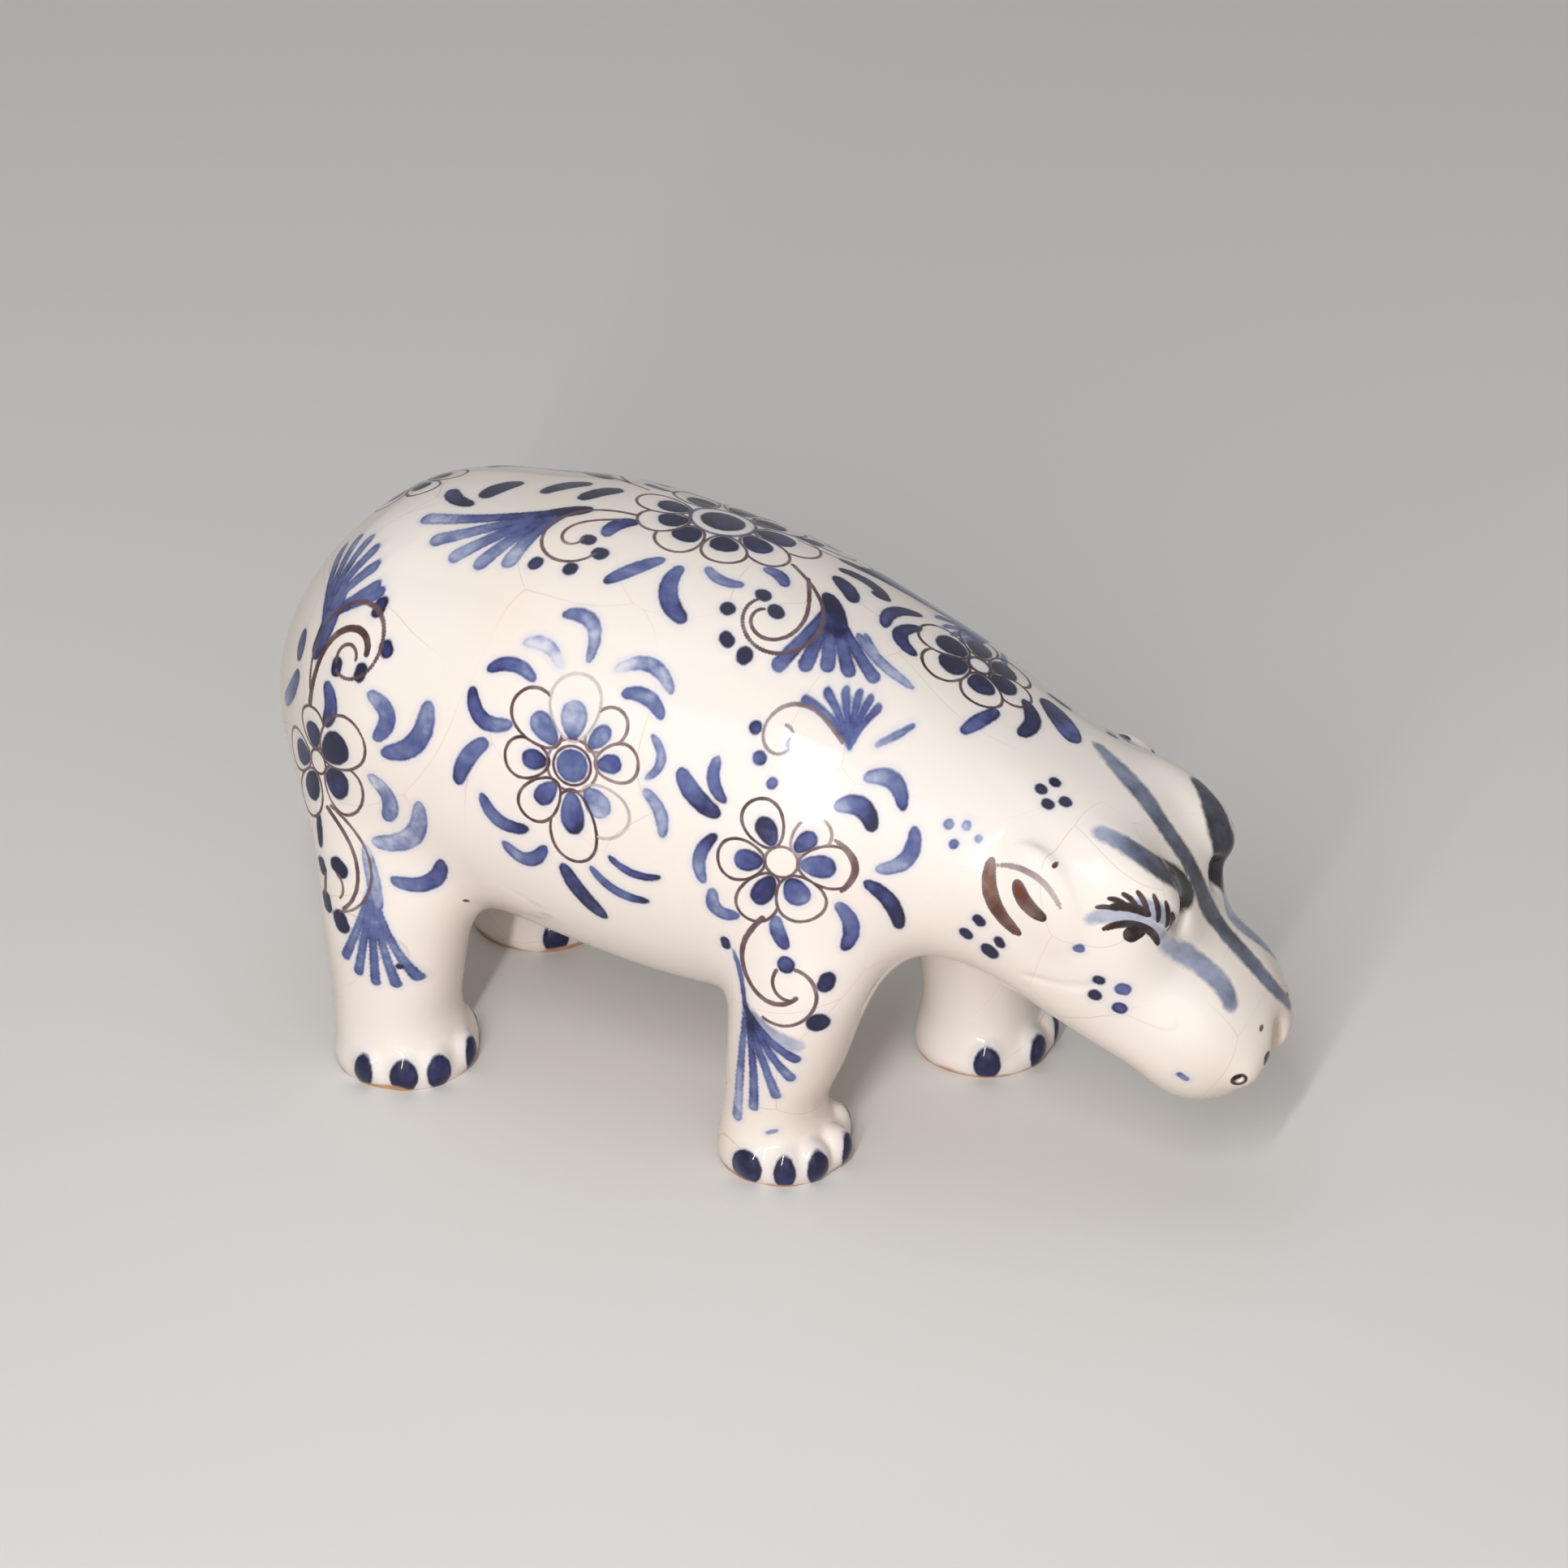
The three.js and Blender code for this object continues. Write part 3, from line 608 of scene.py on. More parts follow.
# the back flower's hearts, petals and commas are painted at nearly full tone: full cobalt, and partly painted
# shade of the back near its upper outline
backFlower = {
    "at": (0.3, 7.5, 86.1), "petalStart": 5.0, "blob": (0.62, 0.66),
    "spot": (3.4, 0.99), "blueRings": [(4.9, 0.3, 0.55)],
    "petals": [(angle, reach, half, 0.98, tip, 0.6) for angle, reach, half, tip in (
        (-173, 13.4, 3.1, 0.92), (-139, 12.9, 3, 0.92), (-106, 13, 3.3, 0.92), (-62, 12.3, 3.3, 0.92),
        (-24, 13.8, 3.2, 0.85), (10, 15.2, 3.6, 0.85), (50, 13.6, 3.4, 0.92), (92, 12.8, 3.4, 0.92),
        (140, 12.8, 3.4, 0.92))],
    "scrolls": [(13.3, -3.9, -24, 34.6, -273, 1.8, 0.4, 0.6), (16.8, -5.1, -59, 23.3, -261, 2.7, 0.38, 0.6),
                (-10.2, -7, 187, 28, 238, 1.6, 0.34, 0.55), (-11.9, -9.4, 210, 14.4, 257, 2.9, 0.32, 0.55)],
    "commas": [
        (21, -6.5, 26, -12.5, 0.3, 1.7, 0.98, 0.88), (28.3, -10.3, 38, -13, -0.8, 1.0, 0.45, 0.3),
        (-17.5, -9, -23.5, -13, 0, 1.5, 0.98, 0.9), (-9.9, -9, -12, -13.7, -0.9, 1.35, 0.88, 0.6),
        (-2.2, -15, -7.2, -21.5, 0, 1.2, 0.5, 0.68), (1, -15.4, 6, -22.7, -1.9, 1.4, 0.55, 0.72),
        (4.5, -13.3, 10.2, -13.6, -1.0, 1.0, 0.35, 0.42), (11.6, -8.2, 15, -9.3, 0.7, 1.2, 0.5, 0.55),
        (19.8, -1.3, 23.8, -4, 0.5, 1.5, 0.9, 0.95), (19, 2, 27, 1.3, 1.5, 1.2, 0.95, 0.95),
        (-34.4, -8.4, -32, -3.2, 0.6, 1.7, 0.97, 0.9), (-26.4, -5.4, -22, -0.6, 0.7, 1.5, 0.97, 0.92),
        (-20, -6, -16.8, -1, 0.5, 1.5, 0.97, 0.95),
    ],
    "fans": [
        (22, -7, 268, 324, 5, 14.6, 14.2, 1.15, 0.97, 0.55, -0.16),
        (-19.5, -10.3, 195, 256, 5, 20.5, 12.2, 1.3, 0.95, 0.34),
    ],
    "dots": [
        (13.8, -13.5, 1.3, 1.2, 0, 0.97), (10.8, -18.5, 1.2, 1.15, 0, 0.97),
        (16.8, -15, 1.4, 1.25, -30, 0.97), (13.2, -22.5, 1.3, 1.0, -20, 0.97),
        (16.6, -23.1, 1.25, 1.2, 0, 0.97), (-18.5, -22, 1.15, 1.1, 0, 0.9),
        (-13.2, -21.6, 1.15, 1.1, 0, 0.95), (-10.7, -17.7, 1.35, 1.2, 0, 0.97),
        (-13.7, -15.9, 1.25, 1.15, 0, 0.97),
    ],
}
napeFlower = {
    "at": (42.6, 5.2, 73.2), "petalStart": 2.0, "blob": (0.66, 0.68),
    "blueRings": [(1.8, 0.3, 0.8)],
    "petals": [(angle, reach, half, 0.98, 0.94, 0.8) for angle, reach, half in (
        (-179, 10.3, 3.5), (-124, 9.7, 3.3), (-58, 8.9, 3.3), (0, 9.2, 3.1), (52, 9.2, 3.2),
        (115, 10.2, 3.2))],
    "commas": [
        (-14, -5, -12, 3, 1.8, 1.2, 0.72, 0.95), (-10.3, -0.8, -7.8, -7.2, -2.5, 1.25, 0.95, 0.75),
        (5.5, -13.5, 6.8, -6.5, 0, 1.2, 0.62, 0.72), (8.6, 0, 11.6, -6.8, 1.4, 1.4, 0.88, 0.92),
        (10.7, 4, 17.2, -0.3, 0.3, 2.2, 0.9, 0.72), (9.6, 8, 13.3, 8, 0, 0.7, 0.95, 0.95),
        (-19, 1.3, -17, 1.8, 0, 0.95, 0.95, 0.95), (-14.8, -9.2, -4.3, -13.2, -1.2, 0.75, 0.4, 0.3),
    ],
}
rumpTopFlower = {
    "at": (-50, 5.5, 82.5), "petalStart": 2.3, "blob": (0.62, 0.6),
    "rings": [(2.2, 0.26, 0.6)], "spot": (1.3, 0.9),
    "petals": [(angle, 8.2, 2.6, 0.97, 0.9, 0.6) for angle in range(10, 370, 60)],
    "commas": [(9.5 * sideU, 6.2 * sideV, 13.5 * sideU, 9.8 * sideV, 0.9 * sideU * sideV, 1.35, 0.85, 0.95)
               for sideU in (-1, 1) for sideV in (-1, 1)],
}
earMarks = {
    "at": (60, -20.7, 52.7), "heading": 36,
    "lines": [(-6, 1.2, 3.8, -4.6, -1.5, 1.2, 0.5, 0.75), (-1.2, 1.8, 4.8, 0.4, -0.7, 1.25, 0.5, 0.8),
              (-4.9, 1.5, 5.6, 3.4, 2.1, 0.52, 0.4, 0.25)],
    "dots": [
        (-1.4, -7.2, 1.15, 0.85, -15, 0.93), (-1.4, -10.6, 1.15, 0.9, -10, 0.95),
        (2.9, -8.1, 1.1, 0.8, -30, 0.95), (2.8, -10.7, 1.5, 1.2, -10, 0.97),
        (-14, 0.7, 0.75, 0.7, 0, 0.35), (-12, 2.1, 0.7, 0.62, 0, 0.32), (-11.5, -0.6, 0.75, 0.7, 0, 0.55),
        (-9.5, 2, 0.55, 0.5, 0, 0.2), (11.5, -0.5, 0.7, 0.65, 0, 0.45),
    ],
    "specks": [(0.9, 7.2, 0.38, 0.36, 0, 0.7)],
}
neckDots = {
    "at": (60.5, -9.0, 63.6), "heading": 36,
    "dots": [
        (-1.8, -0.5, 1.0, 0.95, 0, 0.92), (-1.0, 2.0, 1.0, 0.9, 0, 0.95), (0.4, -2.0, 1.05, 0.95, 0, 0.95),
        (2.1, 0.0, 1.05, 1.0, 0, 0.95),
    ],
}
faceMarks = {
    "at": (76.5, -14.9, 47.9), "heading": 36,
    "washes": [(-6.8, -2.7, 4.2, 0.9, 2.6, 1.3, 0.15, 0.25), (-3.5, 3.4, 3, 4, 0.6, 1.3, 0.35, 0.35)],
    "lines": [
        (-4.3, -2.4, 4.2, -0.2, 2.6, 0.72, 0.92, 0.97), (-5.6, 0.9, -1, 3.4, 0.7, 0.75, 0.92, 0.97),
    ] + [(*lash, 0.97, 0.85) for lash in (
        (4.2, 2.2, 2.1, 5.1, -0.4, 0.4), (3, 2.8, 0.2, 6, -0.3, 0.42), (0.9, 3.2, -2, 5.9, -0.3, 0.44),
        (-1.2, 3.4, -4.3, 5, -0.3, 0.44), (-2.9, 3.2, -5.7, 3.5, -0.3, 0.44),
        (-3.9, 2.6, -6.7, 1.6, -0.3, 0.44), (-4.8, 1.2, -7.1, -0.6, -0.2, 0.42))],
    "dots": [
        (0.6, -9.4, 0.95, 0.85, 20, 0.9), (2.1, -11.9, 1.05, 1.0, 20, 0.95),
        (4.1, -8.3, 1.25, 1.05, 20, 0.58), (6.0, -11.2, 1.15, 1.05, 20, 0.75),
        (-4.8, -7.1, 0.75, 0.7, 0, 0.45), (19.4, -13.7, 1.1, 0.5, 0, 0.5),
    ],
    "specks": [(-0.5, -0.2, 1.75, 1.4, 70, 1), (25.1, -2.0, 0.4, 0.38, 0, 0.7)],
}
# a dark speck at the nose's edge, on the right side only, stands in for the far nostril seen edge-on: its
# brown ring, and painted shade for its hole
nostrilRingAndShadeSpot = {"at": (93.1, -4.9, 25.6), "heading": 90, "specks": [(0, 0, 1.15, 0.95, 0, 1)]}
# soft stripes over the head: tone at the start and the end, then station along the spine, aside, half width
crownStripes = [
    (0.42, 0.8, [(54, 5.8, 0.8), (59, 2.2, 1.7), (64, 0.2, 1.8), (74.3, -0.3, 1.8)]),
    (0.8, 0.5, [(74.3, -0.3, 1.8), (78, 0.6, 1.9), (81.7, 2.6, 1.9), (85.8, 2.3, 1.8), (90.7, 1.4, 1.7),
                (95.1, 2.3, 1.4), (98, 4.4, 0.9)]),
    (0.75, 1, [(66.5, 11.8, 1.3), (70.3, 10.3, 2.2), (73.5, 8.9, 2.5), (76.4, 8.8, 2.2), (79.2, 9.2, 1.3)]),
    # the near brow's stripe runs to black at its front end: full cobalt, and partly painted shade of the
    # pocket before the brow
    (0.28, 1.3, [(60.9, -11.2, 1.4), (66.6, -10.4, 1.9), (70.5, -8.9, 2.4), (74.3, -4.6, 2.2),
                 (76.1, -3.5, 1.5)]),
    (0.2, 0.42, [(77.4, -11.7, 0.6), (80.2, -8.9, 1.2), (82.7, -6.8, 1.7), (87, -6.2, 1.8), (91, -7.5, 1.3)]),
    (0.2, 0.42, [(77.7, 12.2, 0.6), (80.5, 9.8, 1.2), (83, 8.2, 1.7), (87, 7.8, 1.8), (91.5, 9, 1.3)]),
]
brush = {
    "outline": 0.26,       # half width of the drawn brown line
    "reach": 46,           # no motif is painted farther than this from its place
    "steps": 24,           # points along a stroke
    "web": 0.5,            # share of a fan that runs together
    "webWidth": 0.75, "webFade": 0.2,     # width of that as a share of the fan's, and the tone it loses
    "curl": 0.4,           # share of a fan's spread that opens along its strokes
    "drawnIn": 0.5,        # share of its width that a stroke keeps at its thin ends
    "tipGrowth": 0.7,      # power by which a fan's strokes widen towards their tips
    "thinning": 0.2,       # share of its width that a scroll loses
    "flare": 0.2,          # how much wider than in its middle a petal is at its tip
    "heartOverlap": 0.3, "blobGap": 0.2,     # outlines run so far into the heart, blue stops so far off
    "topBand": 7,          # half width of the strip along the back that is painted once
    "untouched": -1.5,     # measure of a point that no stroke is near
    "facing": 0.12,        # least turn towards a motif's sheet, as the cosine between the two
    "crownLift": 2,        # the head's stripes keep above this lift from the spine
    "farNeckDots": (0, -5, -4), "farShoulder": 0.4,     # how the far side's motifs are moved
    "farBack": 0.62,       # width of the fans and scrolls repeated on the far half of the back
    "nailSize": (2.0, 2.9), "nailHeight": 2.6, "nailTone": 0.93,
    "nailWidths": {"front": [1.35, 0.85, 0.95, 0.95, 1], "rear": [0.8, 1.05, 1, 0.95, 1]},
    "nailReach": 10.5, "nailSearch": (17, 12),          # radius of a foot, and how far round and up nails go
    "nostrilRing": (1.0, 0.3, 0.85),                    # radius, half width, tone
}
paintNames = ("brushEdge", "brushTone", "washEdge", "washTone", "lineEdge", "lineTone")
paintColumn = {"blue": 0, "wash": 2, "brown": 4}


def wayAt(degrees):
    # direction u, v at an angle
    turn = np.radians(degrees)
    return np.stack([np.cos(turn), np.sin(turn)], -1)


def commaStroke(startU, startV, endU, endV, bow, half, toneStart, toneEnd):
    # parabola from start to end, bowed aside; full in the middle, drawn in at both ends
    s = np.linspace(0, 1, brush["steps"])
    way = np.array([endU - startU, endV - startV])
    aside = np.array([-way[1], way[0]]) / np.hypot(*way)
    path = [startU, startV] + s[:, None] * way + (4 * bow * s * (1 - s))[:, None] * aside
    width = half * between(brush["drawnIn"], 1, np.sqrt(4 * s * (1 - s)))
    return path, width, between(toneStart, toneEnd, s)


def fanStrokes(u, v, firstAngle, lastAngle, count, firstLength, lastLength, half, toneBase, toneTip, bulge=0):
    # strokes from one base that curl apart towards their tips; the middle ones are longer by the share bulge
    s = np.linspace(0, 1, brush["steps"])
    middle = (firstAngle + lastAngle) / 2
    width = half * between(brush["drawnIn"], 1, s ** brush["tipGrowth"])
    strokes = []
    for share in np.linspace(0, 1, count):
        spread = (lastAngle - firstAngle) * (share - 0.5)
        way = wayAt(middle + spread * (1 - brush["curl"] + brush["curl"] * s))
        length = between(firstLength, lastLength, share) * (1 + bulge * np.sin(np.pi * share))
        strokes.append(([u, v] + (length * s)[:, None] * way, width, between(toneBase, toneTip, s)))
    return strokes


def fanWeb(u, v, firstAngle, lastAngle, firstLength, lastLength, half, toneBase, toneTip):
    # soft wedge that runs the strokes together near their base, wider by the sine of half the spread
    s = np.linspace(0, 1, brush["steps"])
    spread = np.radians(abs(lastAngle - firstAngle) / 2)
    out = s * brush["web"] * (firstLength + lastLength) / 2
    path = [u, v] + out[:, None] * wayAt((firstAngle + lastAngle) / 2)
    width = half * brush["drawnIn"] + out * np.sin(spread) * brush["webWidth"]
    return path, width, between(toneBase, toneTip - brush["webFade"], s)


def scrollStroke(u, v, heading, length, turn, late, half, tone):
    # line whose direction turns by the power late of the share drawn, so that it winds tighter
    s = np.linspace(0, 1, 3 * brush["steps"])
    step = length / (len(s) - 1)
    path = [u, v] + step * np.cumsum(wayAt(heading + turn * s**late), axis=0)
    return path, half * (1 - brush["thinning"] * s), tone + 0 * s


def dotStroke(u, v, halfLength, half, angle, tone):
    # straight stroke of one width, as short as the dot is round
    s = np.linspace(-1, 1, 5)
    path = [u, v] + (max(halfLength - half, 0.02) * s)[:, None] * wayAt(angle)
    return path, half + 0 * s, tone + 0 * s


def stripeStroke(toneStart, toneEnd, points):
    # natural cubics through the points by the length drawn
    p = np.array(points, float)
    drawn = np.append(0, np.cumsum(np.hypot(*np.diff(p[:, :2], axis=0).T)))
    at = np.linspace(0, drawn[-1], 3 * brush["steps"])
    u, v, half = (naturalSpline(drawn, p[:, i])(at) for i in range(3))
    return np.stack([u, v], 1), half, between(toneStart, toneEnd, at / drawn[-1])


def strokesOf(motif):
    # every stroke of a motif with its colour
    found = []
    for key, colour in (("commas", "blue"), ("lines", "brown"), ("washes", "wash")):
        found += [(colour, commaStroke(*row)) for row in motif.get(key, [])]
    for row in motif.get("fans", []):
        found += [("blue", stroke) for stroke in fanStrokes(*row)]
        found.append(("wash", fanWeb(*row[:4], *row[5:10])))
    found += [("brown", scrollStroke(*row)) for row in motif.get("scrolls", [])]
    for key, colour in (("dots", "blue"), ("specks", "brown")):
        found += [(colour, dotStroke(*row)) for row in motif.get(key, [])]
    return found


def layMeasure(paint, rows, colour, inside, tone):
    # keeps the deepest measure of each colour and the tone found there
    column = paintColumn[colour]
    better = inside > paint[rows, column]
    paint[rows[better], column] = inside[better]
    paint[rows[better], column + 1] = (tone + 0 * inside)[better]


def layStrokes(paint, rows, u, v, strokes):
    # inside measure of a stroke: its half width less the distance, greatest over the path
    for colour, (path, half, tone) in strokes:
        margin = half.max() - brush["untouched"]
        low, high = path.min(0) - margin, path.max(0) + margin
        near = np.flatnonzero((u > low[0]) & (u < high[0]) & (v > low[1]) & (v < high[1]))
        if not len(near):
            continue
        inside = half - np.hypot(u[near, None] - path[:, 0], v[near, None] - path[:, 1])
        best = inside.argmax(1)
        layMeasure(paint, rows[near], colour, inside[np.arange(len(near)), best], tone[best])


def eggDepth(a, b, start, reach, half):
    # depth inside an egg from start to reach, wider towards its tip: one less its own radius r, by r's slope
    long = (reach - start) / 2
    x = (a - (start + reach) / 2) / long
    wide = half * (1 + brush["flare"] * np.clip(x, -1, 1))
    y = b / wide
    r = np.hypot(x, y) + 1e-6
    return (1 - r) * r / np.hypot(x / long, y / wide).clip(1e-6)


def layFlower(paint, rows, u, v, flower):
    # petal outlines stop at the heart and at petals drawn before; each holds a blob that fades to its tip
    start = flower["petalStart"]
    blobReach, blobWidth = flower["blob"]
    heartU, heartV = flower.get("heart", (0, 0))
    u, v = u - heartU, v - heartV
    out = np.hypot(u, v)
    covered = start - brush["heartOverlap"] - out
    for angle, reach, half, blueHeart, blueTip, line in flower["petals"]:
        turn = np.radians(angle)
        a, b = u * np.cos(turn) + v * np.sin(turn), v * np.cos(turn) - u * np.sin(turn)
        depth = eggDepth(a, b, start, reach, half)
        drawn = brush["outline"] - np.maximum(np.abs(depth), covered)
        layMeasure(paint, rows, "brown", drawn, line)
        covered = np.maximum(covered, depth)
        tip = between(start, reach, blobReach)
        fade = np.clip((a - start) / (tip - start), 0, 1)
        blob = eggDepth(a, b, start + brush["blobGap"], tip, half * blobWidth)
        layMeasure(paint, rows, "blue", blob, between(blueHeart, blueTip, fade))
    for key, colour in (("rings", "brown"), ("blueRings", "blue")):
        for radius, half, tone in flower.get(key, []):
            layMeasure(paint, rows, colour, half - np.abs(out - radius), tone)
    if "spot" in flower:
        radius, tone = flower["spot"]
        layMeasure(paint, rows, "blue", radius - out, tone)


def layMotif(paint, points, normals, motif, flip=1, shift=(0, 0, 0), squeeze=0):
    # flip -1 paints the mirrored motif on the left side, moved by shift; squeeze turns it half round, narrows
    # it and leaves out what lies along the top
    at = ontoClay(np.array([motif["at"]], float), 4)
    face = unit(clayNormal(at)[0])
    tilt = np.radians(motif.get("heading", 0))
    ahead = np.array([np.cos(tilt), 0, -np.sin(tilt)])
    ahead = unit(ahead - face * (ahead @ face))
    mirror = np.array([1, flip, 1])
    away = points * mirror - at[0] - np.array(shift)
    chosen = np.flatnonzero((np.abs(away) < brush["reach"]).all(1))
    chosen = chosen[(normals[chosen] * mirror) @ face > brush["facing"]]
    u, v = away[chosen] @ ahead, away[chosen] @ np.cross(face, ahead)
    strokes = strokesOf(motif)
    if squeeze:
        u, v = -u, -v / squeeze
        strokes = [row for row in strokes if row[1][0][:, 1].mean() < -brush["topBand"]]
    layStrokes(paint, chosen, u, v, strokes)
    if "petals" in motif and not squeeze:
        near = np.hypot(u, v) < max(row[1] for row in motif["petals"]) - brush["untouched"]
        layFlower(paint, chosen[near], u[near], v[near], motif)


def layNails(paint, points, name, foot):
    # an oval on each toe, by angle round the foot and height
    away = points[:, :2] - foot
    around, up = brush["nailSearch"]
    chosen = np.flatnonzero((np.hypot(*away.T) < around) & (points[:, 2] < up))
    angle = np.degrees(np.arctan2(np.sign(foot[1]) * away[chosen, 1], away[chosen, 0]))
    nailWide, tall = brush["nailSize"]
    for toe, share in zip(legs["toeAngles"], brush["nailWidths"][name.split("_")[0]]):
        wide = nailWide * share
        turn = (angle - toe + legs["turnIn"].get(name, 0) + 180) % 360 - 180
        u = np.radians(turn) * brush["nailReach"] / wide
        v = (points[chosen, 2] - brush["nailHeight"]) / tall
        layMeasure(paint, chosen, "blue", (1 - np.hypot(u, v)) * wide, brush["nailTone"])


def paintSkin(points, normals):
    # right side, left side mirrored with its foreleg's motifs moved by the step, then top, head and feet
    paint = np.tile(np.array([brush["untouched"], 0.5] * 3), (len(points), 1))
    nearFoot, farFoot = (legs["feet"]["front_%s_leg" % side][0] for side in ("right", "left"))
    foreStep = (farFoot[0] - nearFoot[0], -nearFoot[1] - farFoot[1], 0)
    nearShifts = [(0, 0, 0)] * 3
    farShifts = [brush["farNeckDots"], (brush["farShoulder"] * foreStep[0], 0, 0), foreStep]
    for flip, (neck, shoulder, leg) in ((1, nearShifts), (-1, farShifts)):
        for motif in (flankFlower, rumpFlower, hindlegScroll, earMarks, faceMarks):
            layMotif(paint, points, normals, motif, flip)
        layMotif(paint, points, normals, neckDots, flip, neck)
        layMotif(paint, points, normals, shoulderFlower, flip, shoulder)
        layMotif(paint, points, normals, forelegScroll, flip, leg)
    for motif in (backFlower, napeFlower, rumpTopFlower, nostrilRingAndShadeSpot):
        layMotif(paint, points, normals, motif)
    layMotif(paint, points, normals, backFlower, squeeze=brush["farBack"])
    along, lift = alongSpine(points)
    crown = np.flatnonzero((along > body["neckSeam"]) & (lift > brush["crownLift"]))
    stripes = [("wash", stripeStroke(*row)) for row in crownStripes]
    layStrokes(paint, crown, along[crown], points[crown, 1], stripes)
    for name, (foot, rows) in legs["feet"].items():
        layNails(paint, points, name, foot)
    radius, half, tone = brush["nostrilRing"]
    for opening in nostrilPlaces:
        off = np.linalg.norm(points - opening, axis=1)
        near = np.flatnonzero(off < radius + half - brush["untouched"])
        layMeasure(paint, near, "brown", half - np.abs(off[near] - radius), tone)
    return paint


def refineByPaint(points, tris, rounds):
    # sides that run through a brush edge are halved until they are short enough to draw it
    for _ in range(rounds):
        normals = clayNormal(points)
        paint = paintSkin(points, normals)
        sides, which = sidesOf(tris)
        a, b = sides.T
        length = np.linalg.norm(points[a] - points[b], axis=1)
        chosen = np.zeros(len(sides), bool)
        for colour, shortest in (("blue", figure["paintStep"]), ("brown", figure["lineStep"])):
            column = paintColumn[colour]
            nearest = np.minimum(np.abs(paint[a, column]), np.abs(paint[b, column]))
            crossing = (paint[a, column] > 0) != (paint[b, column] > 0)
            chosen |= (crossing | (nearest < figure["edgeReach"] * length)) & (length > shortest)
        points, tris = splitSides(points, tris, chosen, sides, which)
        fresh = len(points) - chosen.sum()
        points[fresh:] = ontoClay(points[fresh:], 1)
    normals = clayNormal(points)
    return points, tris, normals, paintSkin(points, normals)


skinPoints, skinTris, skinNormals, skinPaint = refineByPaint(skinPoints, skinTris, figure["paintRounds"])
print("brushwork:", len(skinPoints), "points,", len(skinTris), "triangles")

# the potter's pieces, cut from the skin one after another
seams = {"legStandOff": 1.0, "legTop": 48, "legFront": 58, "legsPart": 4, "appliedStandOff": 0.35,
         "earReach": 9.6, "tailReach": 11}


def takeOff(skin, side):
    # the part of the skin where side is above nothing comes away; returns it and what stays
    points, rows, stay, away = cutSkin(*skin, side)
    return usedOnly(points, rows, away), usedOnly(points, rows, stay)


def cutPieces(skin):
    # soles, then legs, ears, tail and head where they stand off the trunk or lie past its seam, then halves
    pieces = {}
    _, skin = takeOff(skin, -skin[0][:, 2])      # what lies under the floor leaves four flat soles
    for name, (foot, rows) in legs["feet"].items():
        x, y, z = skin[0].T
        quarter = np.minimum((x - seams["legsPart"]) * np.sign(foot[0]), y * np.sign(foot[1]))
        off = bodyDistance(skin[0]) - seams["legStandOff"]
        leg = np.minimum.reduce([off, seams["legTop"] - z, seams["legFront"] - x, quarter])
        pieces[name], skin = takeOff(skin, leg)
    applied = [(name, onSide(details["ear"]["place"], side), seams["earReach"])
               for name, side in (("right_ear", -1), ("left_ear", 1))]
    applied.append(("tail", spinePlace(*tail["place"]), seams["tailReach"]))
    for name, middle, reach in applied:
        near = reach - np.linalg.norm(skin[0] - middle, axis=1)
        pieces[name], skin = takeOff(skin, np.minimum(bodyDistance(skin[0]) - seams["appliedStandOff"], near))
    pieces["head"], skin = takeOff(skin, alongSpine(skin[0])[0] - body["neckSeam"])
    pieces["body_shell_left"], pieces["body_shell_right"] = takeOff(skin, skin[0][:, 1])
    return pieces


pieces = cutPieces((skinPoints, np.hstack([unit(skinNormals), skinPaint]), skinTris))
print("pieces:", {name: len(skin[2]) for name, skin in pieces.items()})


